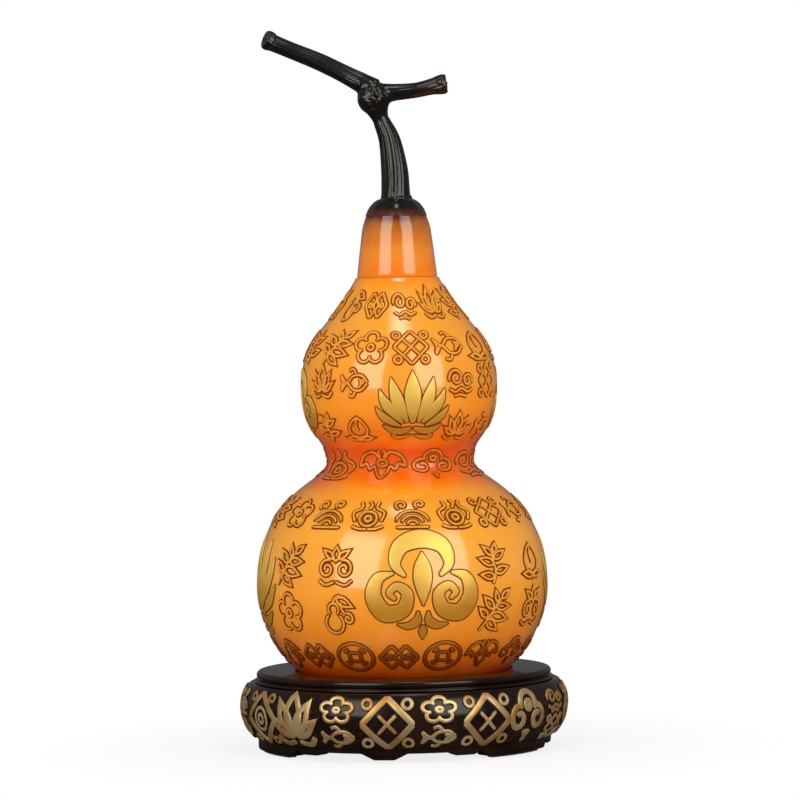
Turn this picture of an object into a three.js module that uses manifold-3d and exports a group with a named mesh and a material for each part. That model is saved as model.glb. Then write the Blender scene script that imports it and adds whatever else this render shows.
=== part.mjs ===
// Amber double-gourd bottle: a hollow gourd with a lift-off neck lid and a forked vine stem, seated on
// a round stand with a lobed apron. Millimetres, +Z up, the front towards -Y, and the origin on the
// floor under the axis.
import * as THREE from "three";
import { mergeVertices } from "three/addons/utils/BufferGeometryUtils.js";
import Module from "manifold-3d";

// Fits
const GLUE_FILM = 0.1; // bond line between two glued faces
const REST_GAP = 0.3; // air under a loose piece that rests on another
const SLIDE_GAP = 0.3; // all round between a plug and its bore
const SCREW_GAP = 0.2; // all round a screw in its holes

// Stand: drum, foot ring and lobed apron
const DRUM_HEIGHT = 33.9; // from the underside of the feet to the top face
const DRUM_RADIUS = 85.3; // at the widest point of the barrel, over its carving
const DRUM_BULGE_HEIGHT = 21.4; // the widest point above the underside
const DRUM_TOP_RADIUS = 80;
const DRUM_BASE_RADIUS = 76;
const DRUM_BORE = 58;
// How far the barrel's tangents pull at its base, its widest point and its top
const BASE_PULL_OUT = 5;
const BASE_PULL_UP = 3.4;
const BULGE_PULL_DOWN = 6.5;
const BULGE_PULL_UP = 5.5;
const TOP_PULL_OUT = 2.6;
const TOP_PULL_DOWN = 3;
const FOOT_RING_RADIUS = 75.8;
const FOOT_RING_HEIGHT = 5;
const APRON_REPEATS = 3;
const APRON_TURN = -8; // degrees from the front to the middle of the first apron
const APRON_RISE = 3.2;
const LOBE_RISE = 1.5;
const NOTCH_RISE = 3.8;
// Half of one apron, from its middle tip to the middle of a broad foot: degrees and rise off the ground
const APRON_OUTLINE = [
  [0, 0],
  [4, 0],
  [9, APRON_RISE],
  [25, APRON_RISE],
  [28, LOBE_RISE],
  [36, LOBE_RISE],
  [38.75, NOTCH_RISE],
  [41.5, 0],
  [60, 0],
];

// Stand: felt pads, underside board and its screws
const PAD_THICKNESS = 1;
const PAD_WIDTH = 4.6;
const PAD_SWEEP = 30; // degrees of each broad foot
const BOARD_RADIUS = 67;
const BOARD_THICKNESS = 3;
const BOARD_RECESS = 4.4; // the board's underside above the feet
const SCREW_COUNT = 3;
const SCREW_RADIUS = 1.5;
const SCREW_HEAD_RADIUS = 2.9;
const SCREW_HEAD_HEIGHT = 1.6;
const SCREW_LENGTH = 11;

// Stand: top disc with its lip, groove and seat for the gourd
const DISC_RADIUS = 76.2;
const DISC_EDGE = 4.1; // height of the full-round edge
const LIP_RADIUS = 77.4;
const LIP_HEIGHT = 1.5;
const GROOVE_DEPTH = 1.4;
const GROOVE_HEIGHT = 0.3;
const DISC_SPIGOT_DEPTH = 3;
const SEAT_DEPTH = 3.3;
const SEAT_ROOM = 2.3; // the seat's rim stands off the gourd's foot by this much
const FELT_THICKNESS = 1.2;

// Gourd: radius and height of each station, heights above the gourd's own foot
const GOURD_FOOT_RADIUS = 54;
const BELLY_RADIUS = 74.8;
const BELLY_HEIGHT = 44.7;
const WAIST_RADIUS = 37.7;
const WAIST_HEIGHT = 108.5;
const CROWN_RADIUS = 50.4;
const CROWN_HEIGHT = 148.8;
const RIM_RADIUS = 21.3;
const RIM_HEIGHT = 204.1;
// How far the outline's tangents pull at each station
const FOOT_PULL = 7.3;
const BELLY_PULL_DOWN = 21.3;
const BELLY_PULL_UP = 49.8;
const WAIST_PULL_DOWN = 9;
const WAIST_PULL_UP = 14.4;
const CROWN_PULL_DOWN = 28.3;
const CROWN_PULL_UP = 26.3;
const RIM_PULL_OUT = 14.4;
const RIM_PULL_DOWN = 27.4;
const GOURD_WALL = 6;
const GOURD_FLOOR = 7;
const KICK_RADIUS = 46; // shallow hollow under the foot
const KICK_DEPTH = 1.5;
const MOUTH_RADIUS = 14.6;
const MOUTH_DEPTH = 12;

// Lid: neck cap, plug and seal, heights above the seam
const CAP_RADIUS = 20.9;
const CAP_SHOULDER_RADIUS = 15.2;
const CAP_SHOULDER_HEIGHT = 32.4;
const CAP_CROWN_HEIGHT = 38.6;
const CAP_PULL_UP = 28.9;
const CAP_TAPER = 3.7;
const SHOULDER_PULL_OUT = 3.1;
const SHOULDER_PULL_DOWN = 8.9;
const CROWN_EDGE_PULL_IN = 3;
const CROWN_EDGE_PULL_UP = 3;
const CROWN_TOP_PULL = 6;
const PLUG_CLEARANCE = 0.6;
const PLUG_LENGTH = 10;
const PLUG_CHAMFER = 1;
const SEAL_HEIGHT = 3;
const SEAL_DEPTH = 2; // of the groove in the plug
const SEAL_CROWN = 0.5; // the seal's middle stands out this much
const SEAL_LEVEL = 5; // the seal's middle below the seam

// Lid: calyx, stem and the pin that joins them to the cap
const CALYX_RADIUS = 15.6;
const CALYX_LOBES = 8;
const CALYX_LOBE_DEPTH = 0.9;
const CALYX_HEIGHT = 8.6; // above the cap's shoulder
const CALYX_TOP_RADIUS = 8.6;
const CALYX_EDGE_PULL_IN = 1.2;
const CALYX_EDGE_PULL_UP = 2.8;
const CALYX_TOP_PULL_OUT = 3.4;
const CALYX_TOP_PULL_DOWN = 0.8;
const CALYX_RIB_DEPTH = 0.35;
const PIN_RADIUS = 2;
const PIN_LENGTH = 26;
const PIN_IN_CAP = 11;
const STEM_FOOT_RADIUS = 7.7;
const TRUNK_RADIUS = 7; // a quarter of the way up
const TRUNK_MIDDLE_RADIUS = 5.7;
const TRUNK_NECK_RADIUS = 4.6; // below the burl
const STEM_RIBS = 7;
const STEM_RIB_DEPTH = 0.09; // as a share of the branch's own radius
const BURL_RADIUS = 8.9;
const BURL_BUMP = 0.7;
const TRUNK_ROOT_RADIUS = 7; // where each branch starts inside the burl
const LEFT_ROOT_RADIUS = 5.8;
const RIGHT_ROOT_RADIUS = 6.5;
const BURL_CENTRE = [-10, 0, 52]; // from the middle of the stem's foot, as are the points below
const TRUNK_TRIM = 3; // the trunk is lofted this much too long and cut flat at its foot
const TRUNK_BEND = [-0.5, 0, 14];
const TRUNK_LEAN = [-2.7, 0, 29];
const TRUNK_NECK = [-7.2, 0, 39.5];
const LEFT_ROOT = [-10, 0, 55.2];
const LEFT_BOW = [-38, 1.5, 70];
const LEFT_TIP = [-66, 4, 82.5];
const LEFT_ARM_RADIUS = 4.6;
const LEFT_CUT_RADIUS = 5.1;
const RIGHT_ROOT = [-10, 0, 53];
const RIGHT_BOW = [11, -1, 55];
const RIGHT_TIP = [27, -3, 58];
const RIGHT_ARM_RADIUS = 3.7;
const RIGHT_CUT_RADIUS = 5.2;
const CUT_DISH = 0.8; // depth of the dished cut ends
const CUT_RIM = 1.5; // width of the rim round each dish

// Relief on the gourd and the stand. A stroke is a list of knots: across, up and half its width.
const RELIEF_LIFT = 0.6; // of the gourd's motifs over its wall
const CARVING_LIFT = 1; // of the stand's motifs over the ground between them
const RELIEF_ROOT = 0.8; // how deep a stroke is rooted in the wall
const RELIEF_STEP = 15; // longest facet along a stroke
const RELIEF_MARGIN = 0.04; // share of the outline kept clear at either end
const MITRE_LIMIT = 0.7; // keeps the corners of a stroke from running out
const MOTIF_REPEATS = 4; // around each bulb
const MOTIF_TURN = 8; // degrees from the front to the first one
const BELLY_MOTIF_HEIGHT = 48.7; // above the gourd's foot
const CROWN_MOTIF_HEIGHT = 138.7;
const CROWN_MOTIF_SCALE = 0.66;
const CLOUD_HEAD = {
  middle: [
    [[-13.8, 12, 2.6], [-10.4, 21, 4], [0, 24.6, 4.8], [10.4, 21, 4], [13.8, 12, 2.6]],
    [[0, 16, 1.6], [0, 5, 4.6], [0, -7, 1.2]],
  ],
  left: [
    [[-22.6, 4.4, 2.8], [-25.2, -4.5, 4], [-19.4, -13, 4.4], [-10.4, -11.5, 3.8], [-8, -3.6, 2.8]],
  ],
};
const LOTUS = {
  middle: [
    [[0, -11, 2.2], [0, 2, 5.5], [0, 14, 5.4], [0, 26, 0.8]],
  ],
  left: [
    [[-4.6, -11.5, 1.4], [-11.6, 4, 4.5], [-16.2, 20, 0.8]],
    [[-8, -12.6, 1], [-18.2, -1.2, 3.8], [-25, 11.6, 0.8]],
  ],
};
const CARVING_PLACES = 20;
const CARVING_TURN = -6; // degrees from the front to the first place
const CARVING_HEIGHT = 18.9; // the middle of the band above the feet
const CARVING_STROKE = 1.6; // half the width of its strokes
const LOZENGE = {
  middle: [
    [[0, 13.4], [13, 0], [0, -13.4], [-13, 0], [0, 13.4]],
  ],
  left: [],
};
const LOZENGE_PLACES = [0, 2]; // of every five; the others hold fine carving

// Roundness
const GOURD_SEGMENTS = 40;
const CHAMBER_SEGMENTS = 24;
const STAND_SEGMENTS = 40;
const LID_SEGMENTS = 32;
const SCREW_SEGMENTS = 12;
const STAND_STEP = 8; // widest angle in degrees between two columns of the drum

const wasm = await Module();
wasm.setup();

function solidOf(geometry) {
  const bare = geometry.clone();
  bare.deleteAttribute("normal");
  bare.deleteAttribute("uv");
  const merged = mergeVertices(bare, 1e-3);
  return new wasm.Manifold(new wasm.Mesh({
    numProp: 3,
    vertProperties: new Float32Array(merged.attributes.position.array),
    triVerts: new Uint32Array(merged.index.array),
  }));
}

function geometryOf(solid) {
  const mesh = solid.getMesh();
  const geometry = new THREE.BufferGeometry();
  geometry.setAttribute("position", new THREE.BufferAttribute(mesh.vertProperties, 3));
  geometry.setIndex(new THREE.BufferAttribute(mesh.triVerts, 1));
  geometry.computeVertexNormals();
  return geometry;
}

// A solid of revolution about Z from points (radius, height) that run upwards on the outside
function revolve(profile, segments) {
  const geometry = new THREE.LatheGeometry(profile, segments);
  geometry.rotateX(Math.PI / 2);
  return geometry;
}

function cylinder(radius, bottom, top, segments) {
  const geometry = new THREE.CylinderGeometry(radius, radius, top - bottom, segments);
  geometry.rotateX(Math.PI / 2);
  geometry.translate(0, 0, (bottom + top) / 2);
  return geometry;
}

// A closed surface through rings of equally many points. A wrapped one joins its last ring to its first,
// and any other has both ends capped.
function loft(rings, wrapped) {
  const sides = rings[0].length;
  const positions = rings.flat().flatMap((point) => point.toArray());
  const index = [];
  const spans = wrapped ? rings.length : rings.length - 1;
  for (let i = 0; i < spans; i++) {
    const here = i * sides;
    const next = ((i + 1) % rings.length) * sides;
    for (let j = 0; j < sides; j++) {
      const k = (j + 1) % sides;
      index.push(here + j, here + k, next + k);
      index.push(here + j, next + k, next + j);
    }
  }
  if (!wrapped) {
    const last = (rings.length - 1) * sides;
    for (let j = 1; j < sides - 1; j++) {
      index.push(0, j + 1, j);
      index.push(last, last + j, last + j + 1);
    }
  }
  const geometry = new THREE.BufferGeometry();
  geometry.setAttribute("position", new THREE.Float32BufferAttribute(positions, 3));
  geometry.setIndex(index);
  geometry.computeVertexNormals();
  return geometry;
}

// A point at a radius and height, at an angle in degrees counted from the front
function around(angle, radius, height) {
  const turn = THREE.MathUtils.degToRad(angle);
  return new THREE.Vector3(radius * Math.sin(turn), -radius * Math.cos(turn), height);
}

// A raised band along a stroke's knots, laid on the surface that an outline (radius, height) sweeps about
// Z. Across and up are measured on that surface from a place at an angle and height.
function raisedStroke(outline, knots, angle, height, lift) {
  const length = outline.getLength();
  let low = 0;
  let high = 1;
  for (let halving = 0; halving < 30; halving++) {
    const half = (low + high) / 2;
    if (outline.getPoint(half).y < height) {
      low = half;
    } else {
      high = half;
    }
  }
  const lay = (across, up, out) => {
    const share = THREE.MathUtils.clamp(low + up / length, RELIEF_MARGIN, 1 - RELIEF_MARGIN);
    const at = outline.getPoint(share);
    const along = outline.getTangent(share);
    const turn = THREE.MathUtils.radToDeg(across / at.x);
    return around(angle + turn, at.x + out * along.y, at.y - out * along.x);
  };
  const path = [];
  for (let i = 1; i < knots.length; i++) {
    const from = new THREE.Vector3(...knots[i - 1]);
    const to = new THREE.Vector3(...knots[i]);
    const steps = Math.ceil(from.distanceTo(to) / RELIEF_STEP);
    for (let step = 0; step < steps; step++) {
      path.push(from.clone().lerp(to, step / steps));
    }
  }
  const closed = new THREE.Vector3(...knots[0]).equals(new THREE.Vector3(...knots.at(-1)));
  if (!closed) {
    path.push(new THREE.Vector3(...knots.at(-1)));
  }
  const rings = path.map((here, i) => {
    const before = closed ? path.at(i - 1) : path[Math.max(i - 1, 0)];
    const after = closed ? path[(i + 1) % path.length] : path[Math.min(i + 1, path.length - 1)];
    const arriving = new THREE.Vector2(here.x - before.x, here.y - before.y).normalize();
    const leaving = new THREE.Vector2(after.x - here.x, after.y - here.y).normalize();
    const heading = arriving.clone().add(leaving).normalize();
    const straightness = Math.max(heading.dot(arriving), heading.dot(leaving), MITRE_LIMIT);
    const half = here.z / straightness;
    const right = [here.x + half * heading.y, here.y - half * heading.x];
    const left = [here.x - half * heading.y, here.y + half * heading.x];
    return [
      lay(...right, -RELIEF_ROOT),
      lay(...left, -RELIEF_ROOT),
      lay(...left, lift),
      lay(...right, lift),
    ];
  });
  return solidOf(loft(rings, closed));
}

// Joins a motif's strokes, and the mirror images of its left ones, to a solid
function addMotif(solid, motif, outline, angle, height, lift, scale) {
  const mirrored = motif.left.map((stroke) => stroke.map(([across, up, half]) => [-across, up, half]));
  let joined = solid;
  for (const stroke of [...motif.middle, ...motif.left, ...mirrored]) {
    const sized = ([across, up, half = CARVING_STROKE]) => [across * scale, up * scale, half * scale];
    const knots = stroke.map(sized);
    joined = joined.add(raisedStroke(outline, knots, angle, height, lift));
  }
  return joined;
}

function finish(color, roughness, metalness) {
  return new THREE.MeshStandardMaterial({ color, roughness, metalness });
}

const AMBER = finish(0xe08a26, 0.12, 0);
const AMBER_CAP = finish(0xd98320, 0.12, 0);
const STAND_LACQUER = finish(0x231712, 0.3, 0);
const STEM_LACQUER = finish(0x0f0d0d, 0.15, 0);
const FELT = finish(0x2b2522, 0.95, 0);
const BOARD = finish(0x4a3a2c, 0.8, 0);
const STEEL = finish(0x9a9a98, 0.35, 1);
const SILICONE = finish(0xcfc8bd, 0.6, 0);

function piece(name, geometry, material) {
  const mesh = new THREE.Mesh(geometry, material);
  mesh.name = name;
  return mesh;
}

// Stand drum: a cast barrel on a foot ring, whose underside is cut to the lobed apron

function apronRise(angle) {
  const period = 360 / APRON_REPEATS;
  const fromTip = Math.abs(((((angle - APRON_TURN) % period) + 1.5 * period) % period) - period / 2);
  const end = APRON_OUTLINE.findIndex(([at]) => at >= fromTip);
  if (end <= 0) {
    return APRON_OUTLINE[0][1];
  }
  const [fromAngle, fromRise] = APRON_OUTLINE[end - 1];
  const [toAngle, toRise] = APRON_OUTLINE[end];
  return THREE.MathUtils.mapLinear(fromTip, fromAngle, toAngle, fromRise, toRise);
}

// The drum's columns, clockwise from above so that the loft's faces point out
function standAngles() {
  const half = [];
  for (let i = 1; i < APRON_OUTLINE.length; i++) {
    const [from] = APRON_OUTLINE[i - 1];
    const [to] = APRON_OUTLINE[i];
    const steps = Math.ceil((to - from) / STAND_STEP);
    for (let step = 0; step < steps; step++) {
      half.push(from + ((to - from) * step) / steps);
    }
  }
  const period = 360 / APRON_REPEATS;
  const whole = [...half, period / 2, ...half.slice(1).reverse().map((angle) => period - angle)];
  const angles = [];
  for (let repeat = 0; repeat < APRON_REPEATS; repeat++) {
    angles.push(...whole.map((angle) => APRON_TURN - angle - repeat * period));
  }
  return angles;
}

const boardSeatRadius = BOARD_RADIUS + SLIDE_GAP;
const ledgeHeight = BOARD_RECESS + BOARD_THICKNESS + GLUE_FILM;
const screwCircle = (DRUM_BORE + BOARD_RADIUS) / 2;
const screwAngles = Array.from(
  { length: SCREW_COUNT },
  (_, i) => APRON_TURN + (360 * (i + 0.5)) / SCREW_COUNT,
);

// Countersunk screw, head down, with its head's underside at height 0
function screwProfile(room) {
  return [
    new THREE.Vector2(0, -room),
    new THREE.Vector2(SCREW_HEAD_RADIUS + 2 * room, -room),
    new THREE.Vector2(SCREW_RADIUS + room, SCREW_HEAD_HEIGHT),
    new THREE.Vector2(SCREW_RADIUS + room, SCREW_LENGTH + room - SCREW_RADIUS),
    new THREE.Vector2(0, SCREW_LENGTH + room),
  ];
}

function cutScrewHoles(geometry) {
  let solid = solidOf(geometry);
  for (const angle of screwAngles) {
    const hole = revolve(screwProfile(SCREW_GAP), SCREW_SEGMENTS);
    const at = around(angle, screwCircle, BOARD_RECESS);
    hole.translate(at.x, at.y, at.z);
    solid = solid.subtract(solidOf(hole));
  }
  return geometryOf(solid);
}

function drumGeometry() {
  const bulge = DRUM_RADIUS - CARVING_LIFT;
  const barrel = new THREE.Path();
  barrel.moveTo(DRUM_BASE_RADIUS, FOOT_RING_HEIGHT);
  barrel.bezierCurveTo(
    DRUM_BASE_RADIUS + BASE_PULL_OUT, FOOT_RING_HEIGHT + BASE_PULL_UP,
    bulge, DRUM_BULGE_HEIGHT - BULGE_PULL_DOWN,
    bulge, DRUM_BULGE_HEIGHT,
  );
  barrel.bezierCurveTo(
    bulge, DRUM_BULGE_HEIGHT + BULGE_PULL_UP,
    DRUM_TOP_RADIUS + TOP_PULL_OUT, DRUM_HEIGHT - TOP_PULL_DOWN,
    DRUM_TOP_RADIUS, DRUM_HEIGHT,
  );
  const barrelPoints = barrel.getPoints(3);
  const columns = standAngles().map((angle) => {
    const rise = apronRise(angle);
    return [
      around(angle, boardSeatRadius, rise),
      around(angle, FOOT_RING_RADIUS, rise),
      around(angle, FOOT_RING_RADIUS, FOOT_RING_HEIGHT),
      ...barrelPoints.map((point) => around(angle, point.x, point.y)),
      around(angle, DRUM_BORE, DRUM_HEIGHT),
      around(angle, DRUM_BORE, ledgeHeight),
      around(angle, boardSeatRadius, ledgeHeight),
    ];
  });
  let drum = solidOf(loft(columns, true));
  for (let place = 0; place < CARVING_PLACES; place++) {
    if (LOZENGE_PLACES.includes(place % 5)) {
      const angle = CARVING_TURN + (360 * place) / CARVING_PLACES;
      drum = addMotif(drum, LOZENGE, barrel, angle, CARVING_HEIGHT, CARVING_LIFT, 1);
    }
  }
  return cutScrewHoles(geometryOf(drum));
}

const standBottom = PAD_THICKNESS + GLUE_FILM;
const stand = new THREE.Group();
stand.position.z = standBottom;
stand.add(piece("stand_drum", drumGeometry(), STAND_LACQUER));

// Underside board, screwed up against the drum's ledge

stand.add(piece(
  "bottom_board",
  cutScrewHoles(cylinder(BOARD_RADIUS, BOARD_RECESS, BOARD_RECESS + BOARD_THICKNESS, STAND_SEGMENTS)),
  BOARD,
));

screwAngles.forEach((angle, i) => {
  const screw = piece(`board_screw_${i + 1}`, revolve(screwProfile(0), SCREW_SEGMENTS), STEEL);
  screw.position.copy(around(angle, screwCircle, BOARD_RECESS));
  stand.add(screw);
});

// Felt pads under the three broad feet

function padGeometry() {
  const middle = (boardSeatRadius + FOOT_RING_RADIUS) / 2;
  const half = THREE.MathUtils.degToRad(PAD_SWEEP / 2);
  const outline = new THREE.Shape();
  outline.absarc(0, 0, middle + PAD_WIDTH / 2, -half, half, false);
  outline.absarc(0, 0, middle - PAD_WIDTH / 2, half, -half, true);
  const settings = { depth: PAD_THICKNESS, bevelEnabled: false, curveSegments: 4 };
  return new THREE.ExtrudeGeometry(outline, settings);
}

for (let i = 0; i < APRON_REPEATS; i++) {
  const pad = piece(`foot_pad_${i + 1}`, padGeometry(), FELT);
  pad.position.z = -standBottom;
  pad.rotation.z = THREE.MathUtils.degToRad(APRON_TURN - 90 + (360 * (i + 0.5)) / APRON_REPEATS);
  stand.add(pad);
}

// Top disc: a spigot in the drum's bore, a lip and groove, a full-round edge and the gourd's seat

const discThickness = LIP_HEIGHT + GROOVE_HEIGHT + DISC_EDGE;
const seatRadius = GOURD_FOOT_RADIUS + SEAT_ROOM;
const discFace = DRUM_HEIGHT + GLUE_FILM;

function discGeometry() {
  const grooveRadius = DISC_RADIUS - GROOVE_DEPTH;
  const lipHalf = LIP_HEIGHT / 2;
  const edgeHalf = DISC_EDGE / 2;
  const edgeMiddle = discThickness - edgeHalf;
  const profile = new THREE.Path();
  profile.moveTo(0, -DISC_SPIGOT_DEPTH);
  profile.lineTo(DRUM_BORE - SLIDE_GAP, -DISC_SPIGOT_DEPTH);
  profile.lineTo(DRUM_BORE - SLIDE_GAP, 0);
  profile.lineTo(LIP_RADIUS - lipHalf, 0);
  profile.absarc(LIP_RADIUS - lipHalf, lipHalf, lipHalf, -Math.PI / 2, Math.PI / 2, false);
  profile.lineTo(grooveRadius, LIP_HEIGHT);
  profile.lineTo(grooveRadius, LIP_HEIGHT + GROOVE_HEIGHT);
  profile.lineTo(DISC_RADIUS - edgeHalf, LIP_HEIGHT + GROOVE_HEIGHT);
  profile.absarc(DISC_RADIUS - edgeHalf, edgeMiddle, edgeHalf, -Math.PI / 2, Math.PI / 2, false);
  profile.lineTo(seatRadius, discThickness);
  profile.lineTo(seatRadius, discThickness - SEAT_DEPTH);
  profile.lineTo(0, discThickness - SEAT_DEPTH);
  return revolve(profile.getPoints(2), STAND_SEGMENTS);
}

const disc = piece("stand_top", discGeometry(), STAND_LACQUER);
disc.position.z = discFace;
stand.add(disc);

const feltBottom = discFace + discThickness - SEAT_DEPTH + GLUE_FILM;
stand.add(piece(
  "seat_felt",
  cylinder(seatRadius - SLIDE_GAP, feltBottom, feltBottom + FELT_THICKNESS, STAND_SEGMENTS),
  FELT,
));

// Gourd body: the outline from foot to rim, a shell of even wall inside it, and a straight mouth

function gourdOutline() {
  const outline = new THREE.Path();
  outline.moveTo(GOURD_FOOT_RADIUS, 0);
  outline.bezierCurveTo(
    GOURD_FOOT_RADIUS + FOOT_PULL, FOOT_PULL,
    BELLY_RADIUS, BELLY_HEIGHT - BELLY_PULL_DOWN,
    BELLY_RADIUS, BELLY_HEIGHT,
  );
  outline.bezierCurveTo(
    BELLY_RADIUS, BELLY_HEIGHT + BELLY_PULL_UP,
    WAIST_RADIUS, WAIST_HEIGHT - WAIST_PULL_DOWN,
    WAIST_RADIUS, WAIST_HEIGHT,
  );
  outline.bezierCurveTo(
    WAIST_RADIUS, WAIST_HEIGHT + WAIST_PULL_UP,
    CROWN_RADIUS, CROWN_HEIGHT - CROWN_PULL_DOWN,
    CROWN_RADIUS, CROWN_HEIGHT,
  );
  outline.bezierCurveTo(
    CROWN_RADIUS, CROWN_HEIGHT + CROWN_PULL_UP,
    RIM_RADIUS + RIM_PULL_OUT, RIM_HEIGHT - RIM_PULL_DOWN,
    RIM_RADIUS, RIM_HEIGHT,
  );
  return outline;
}

// Points one wall in from the outline, between the floor and the underside of the mouth's lip
function innerWall(outline, divisions) {
  const points = [];
  for (const curve of outline.curves) {
    for (let i = 0; i < divisions; i++) {
      const at = curve.getPoint(i / divisions);
      const along = curve.getTangent(i / divisions);
      points.push(new THREE.Vector2(at.x - GOURD_WALL * along.y, at.y + GOURD_WALL * along.x));
    }
  }
  const lipUnderside = RIM_HEIGHT - MOUTH_DEPTH;
  const inside = (point) => point.y > GOURD_FLOOR && point.y < lipUnderside && point.x > MOUTH_RADIUS;
  return points.filter(inside);
}

function gourdGeometry() {
  const outline = gourdOutline();
  const profile = [
    new THREE.Vector2(0, KICK_DEPTH),
    new THREE.Vector2(KICK_RADIUS, KICK_DEPTH),
    new THREE.Vector2(KICK_RADIUS + KICK_DEPTH, 0),
    ...outline.getSpacedPoints(26),
    new THREE.Vector2(0, RIM_HEIGHT),
  ];
  const wall = innerWall(outline, 3);
  const chamber = [
    new THREE.Vector2(0, GOURD_FLOOR),
    new THREE.Vector2(wall[0].x - GOURD_WALL, GOURD_FLOOR),
    ...wall,
    new THREE.Vector2(MOUTH_RADIUS, RIM_HEIGHT - MOUTH_DEPTH),
    new THREE.Vector2(0, RIM_HEIGHT - MOUTH_DEPTH),
  ];
  const mouthBottom = RIM_HEIGHT - 2 * MOUTH_DEPTH;
  const mouth = cylinder(MOUTH_RADIUS, mouthBottom, RIM_HEIGHT + MOUTH_DEPTH, LID_SEGMENTS);
  let body = solidOf(revolve(profile, GOURD_SEGMENTS));
  body = body.subtract(solidOf(revolve(chamber, CHAMBER_SEGMENTS)));
  body = body.subtract(solidOf(mouth));
  for (let i = 0; i < MOTIF_REPEATS; i++) {
    const angle = MOTIF_TURN + (360 * i) / MOTIF_REPEATS;
    const [below, above] = i % 2 ? [LOTUS, CLOUD_HEAD] : [CLOUD_HEAD, LOTUS];
    body = addMotif(body, below, outline, angle, BELLY_MOTIF_HEIGHT, RELIEF_LIFT, 1);
    body = addMotif(body, above, outline, angle, CROWN_MOTIF_HEIGHT, RELIEF_LIFT, CROWN_MOTIF_SCALE);
  }
  return geometryOf(body);
}

const gourd = new THREE.Group();
gourd.position.z = standBottom + feltBottom + FELT_THICKNESS + REST_GAP;
gourd.add(piece("gourd_body", gourdGeometry(), AMBER));

// Lid: the neck cap with its plug, sealing ring, calyx, vine stem and pin

const plugRadius = MOUTH_RADIUS - PLUG_CLEARANCE;
const grooveFloor = plugRadius - SEAL_DEPTH;
const sealHalf = SEAL_HEIGHT / 2;
const pinTop = CAP_CROWN_HEIGHT - PIN_IN_CAP + PIN_LENGTH;

function drillPin(geometry) {
  const bottom = CAP_CROWN_HEIGHT - PIN_IN_CAP - SLIDE_GAP;
  const bore = cylinder(PIN_RADIUS + SLIDE_GAP, bottom, pinTop + SLIDE_GAP, SCREW_SEGMENTS);
  return geometryOf(solidOf(geometry).subtract(solidOf(bore)));
}

// Crown of the cap from its shoulder to the axis, which the calyx also fits
function capCrown(path) {
  path.bezierCurveTo(
    CAP_SHOULDER_RADIUS - CROWN_EDGE_PULL_IN, CAP_SHOULDER_HEIGHT + CROWN_EDGE_PULL_UP,
    CROWN_TOP_PULL, CAP_CROWN_HEIGHT,
    0, CAP_CROWN_HEIGHT,
  );
}

function capGeometry() {
  const profile = new THREE.Path();
  profile.moveTo(0, -PLUG_LENGTH);
  profile.lineTo(plugRadius - PLUG_CHAMFER, -PLUG_LENGTH);
  profile.lineTo(plugRadius, -PLUG_LENGTH + PLUG_CHAMFER);
  profile.lineTo(plugRadius, -SEAL_LEVEL - sealHalf - SLIDE_GAP);
  profile.lineTo(grooveFloor, -SEAL_LEVEL - sealHalf - SLIDE_GAP);
  profile.lineTo(grooveFloor, -SEAL_LEVEL + sealHalf + SLIDE_GAP);
  profile.lineTo(plugRadius, -SEAL_LEVEL + sealHalf + SLIDE_GAP);
  profile.lineTo(plugRadius, 0);
  profile.lineTo(CAP_RADIUS, 0);
  profile.bezierCurveTo(
    CAP_RADIUS - CAP_TAPER, CAP_PULL_UP,
    CAP_SHOULDER_RADIUS + SHOULDER_PULL_OUT, CAP_SHOULDER_HEIGHT - SHOULDER_PULL_DOWN,
    CAP_SHOULDER_RADIUS, CAP_SHOULDER_HEIGHT,
  );
  capCrown(profile);
  return drillPin(revolve(profile.getPoints(5), LID_SEGMENTS));
}

const lid = new THREE.Group();
lid.position.z = RIM_HEIGHT + REST_GAP;
lid.add(piece("lid_cap", capGeometry(), AMBER_CAP));

const sealProfile = [
  new THREE.Vector2(grooveFloor + SLIDE_GAP, -sealHalf),
  new THREE.Vector2(MOUTH_RADIUS - SLIDE_GAP - SEAL_CROWN, -sealHalf),
  new THREE.Vector2(MOUTH_RADIUS - SLIDE_GAP, 0),
  new THREE.Vector2(MOUTH_RADIUS - SLIDE_GAP - SEAL_CROWN, sealHalf),
  new THREE.Vector2(grooveFloor + SLIDE_GAP, sealHalf),
];
const seal = piece("lid_seal", revolve([...sealProfile, sealProfile[0]], LID_SEGMENTS), SILICONE);
seal.position.z = -SEAL_LEVEL;
lid.add(seal);

// Calyx: a domed skirt with lobes along its edge and ribs running up to the stem

const calyxTop = CAP_SHOULDER_HEIGHT + CALYX_HEIGHT;
const stemFoot = calyxTop + GLUE_FILM;

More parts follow.
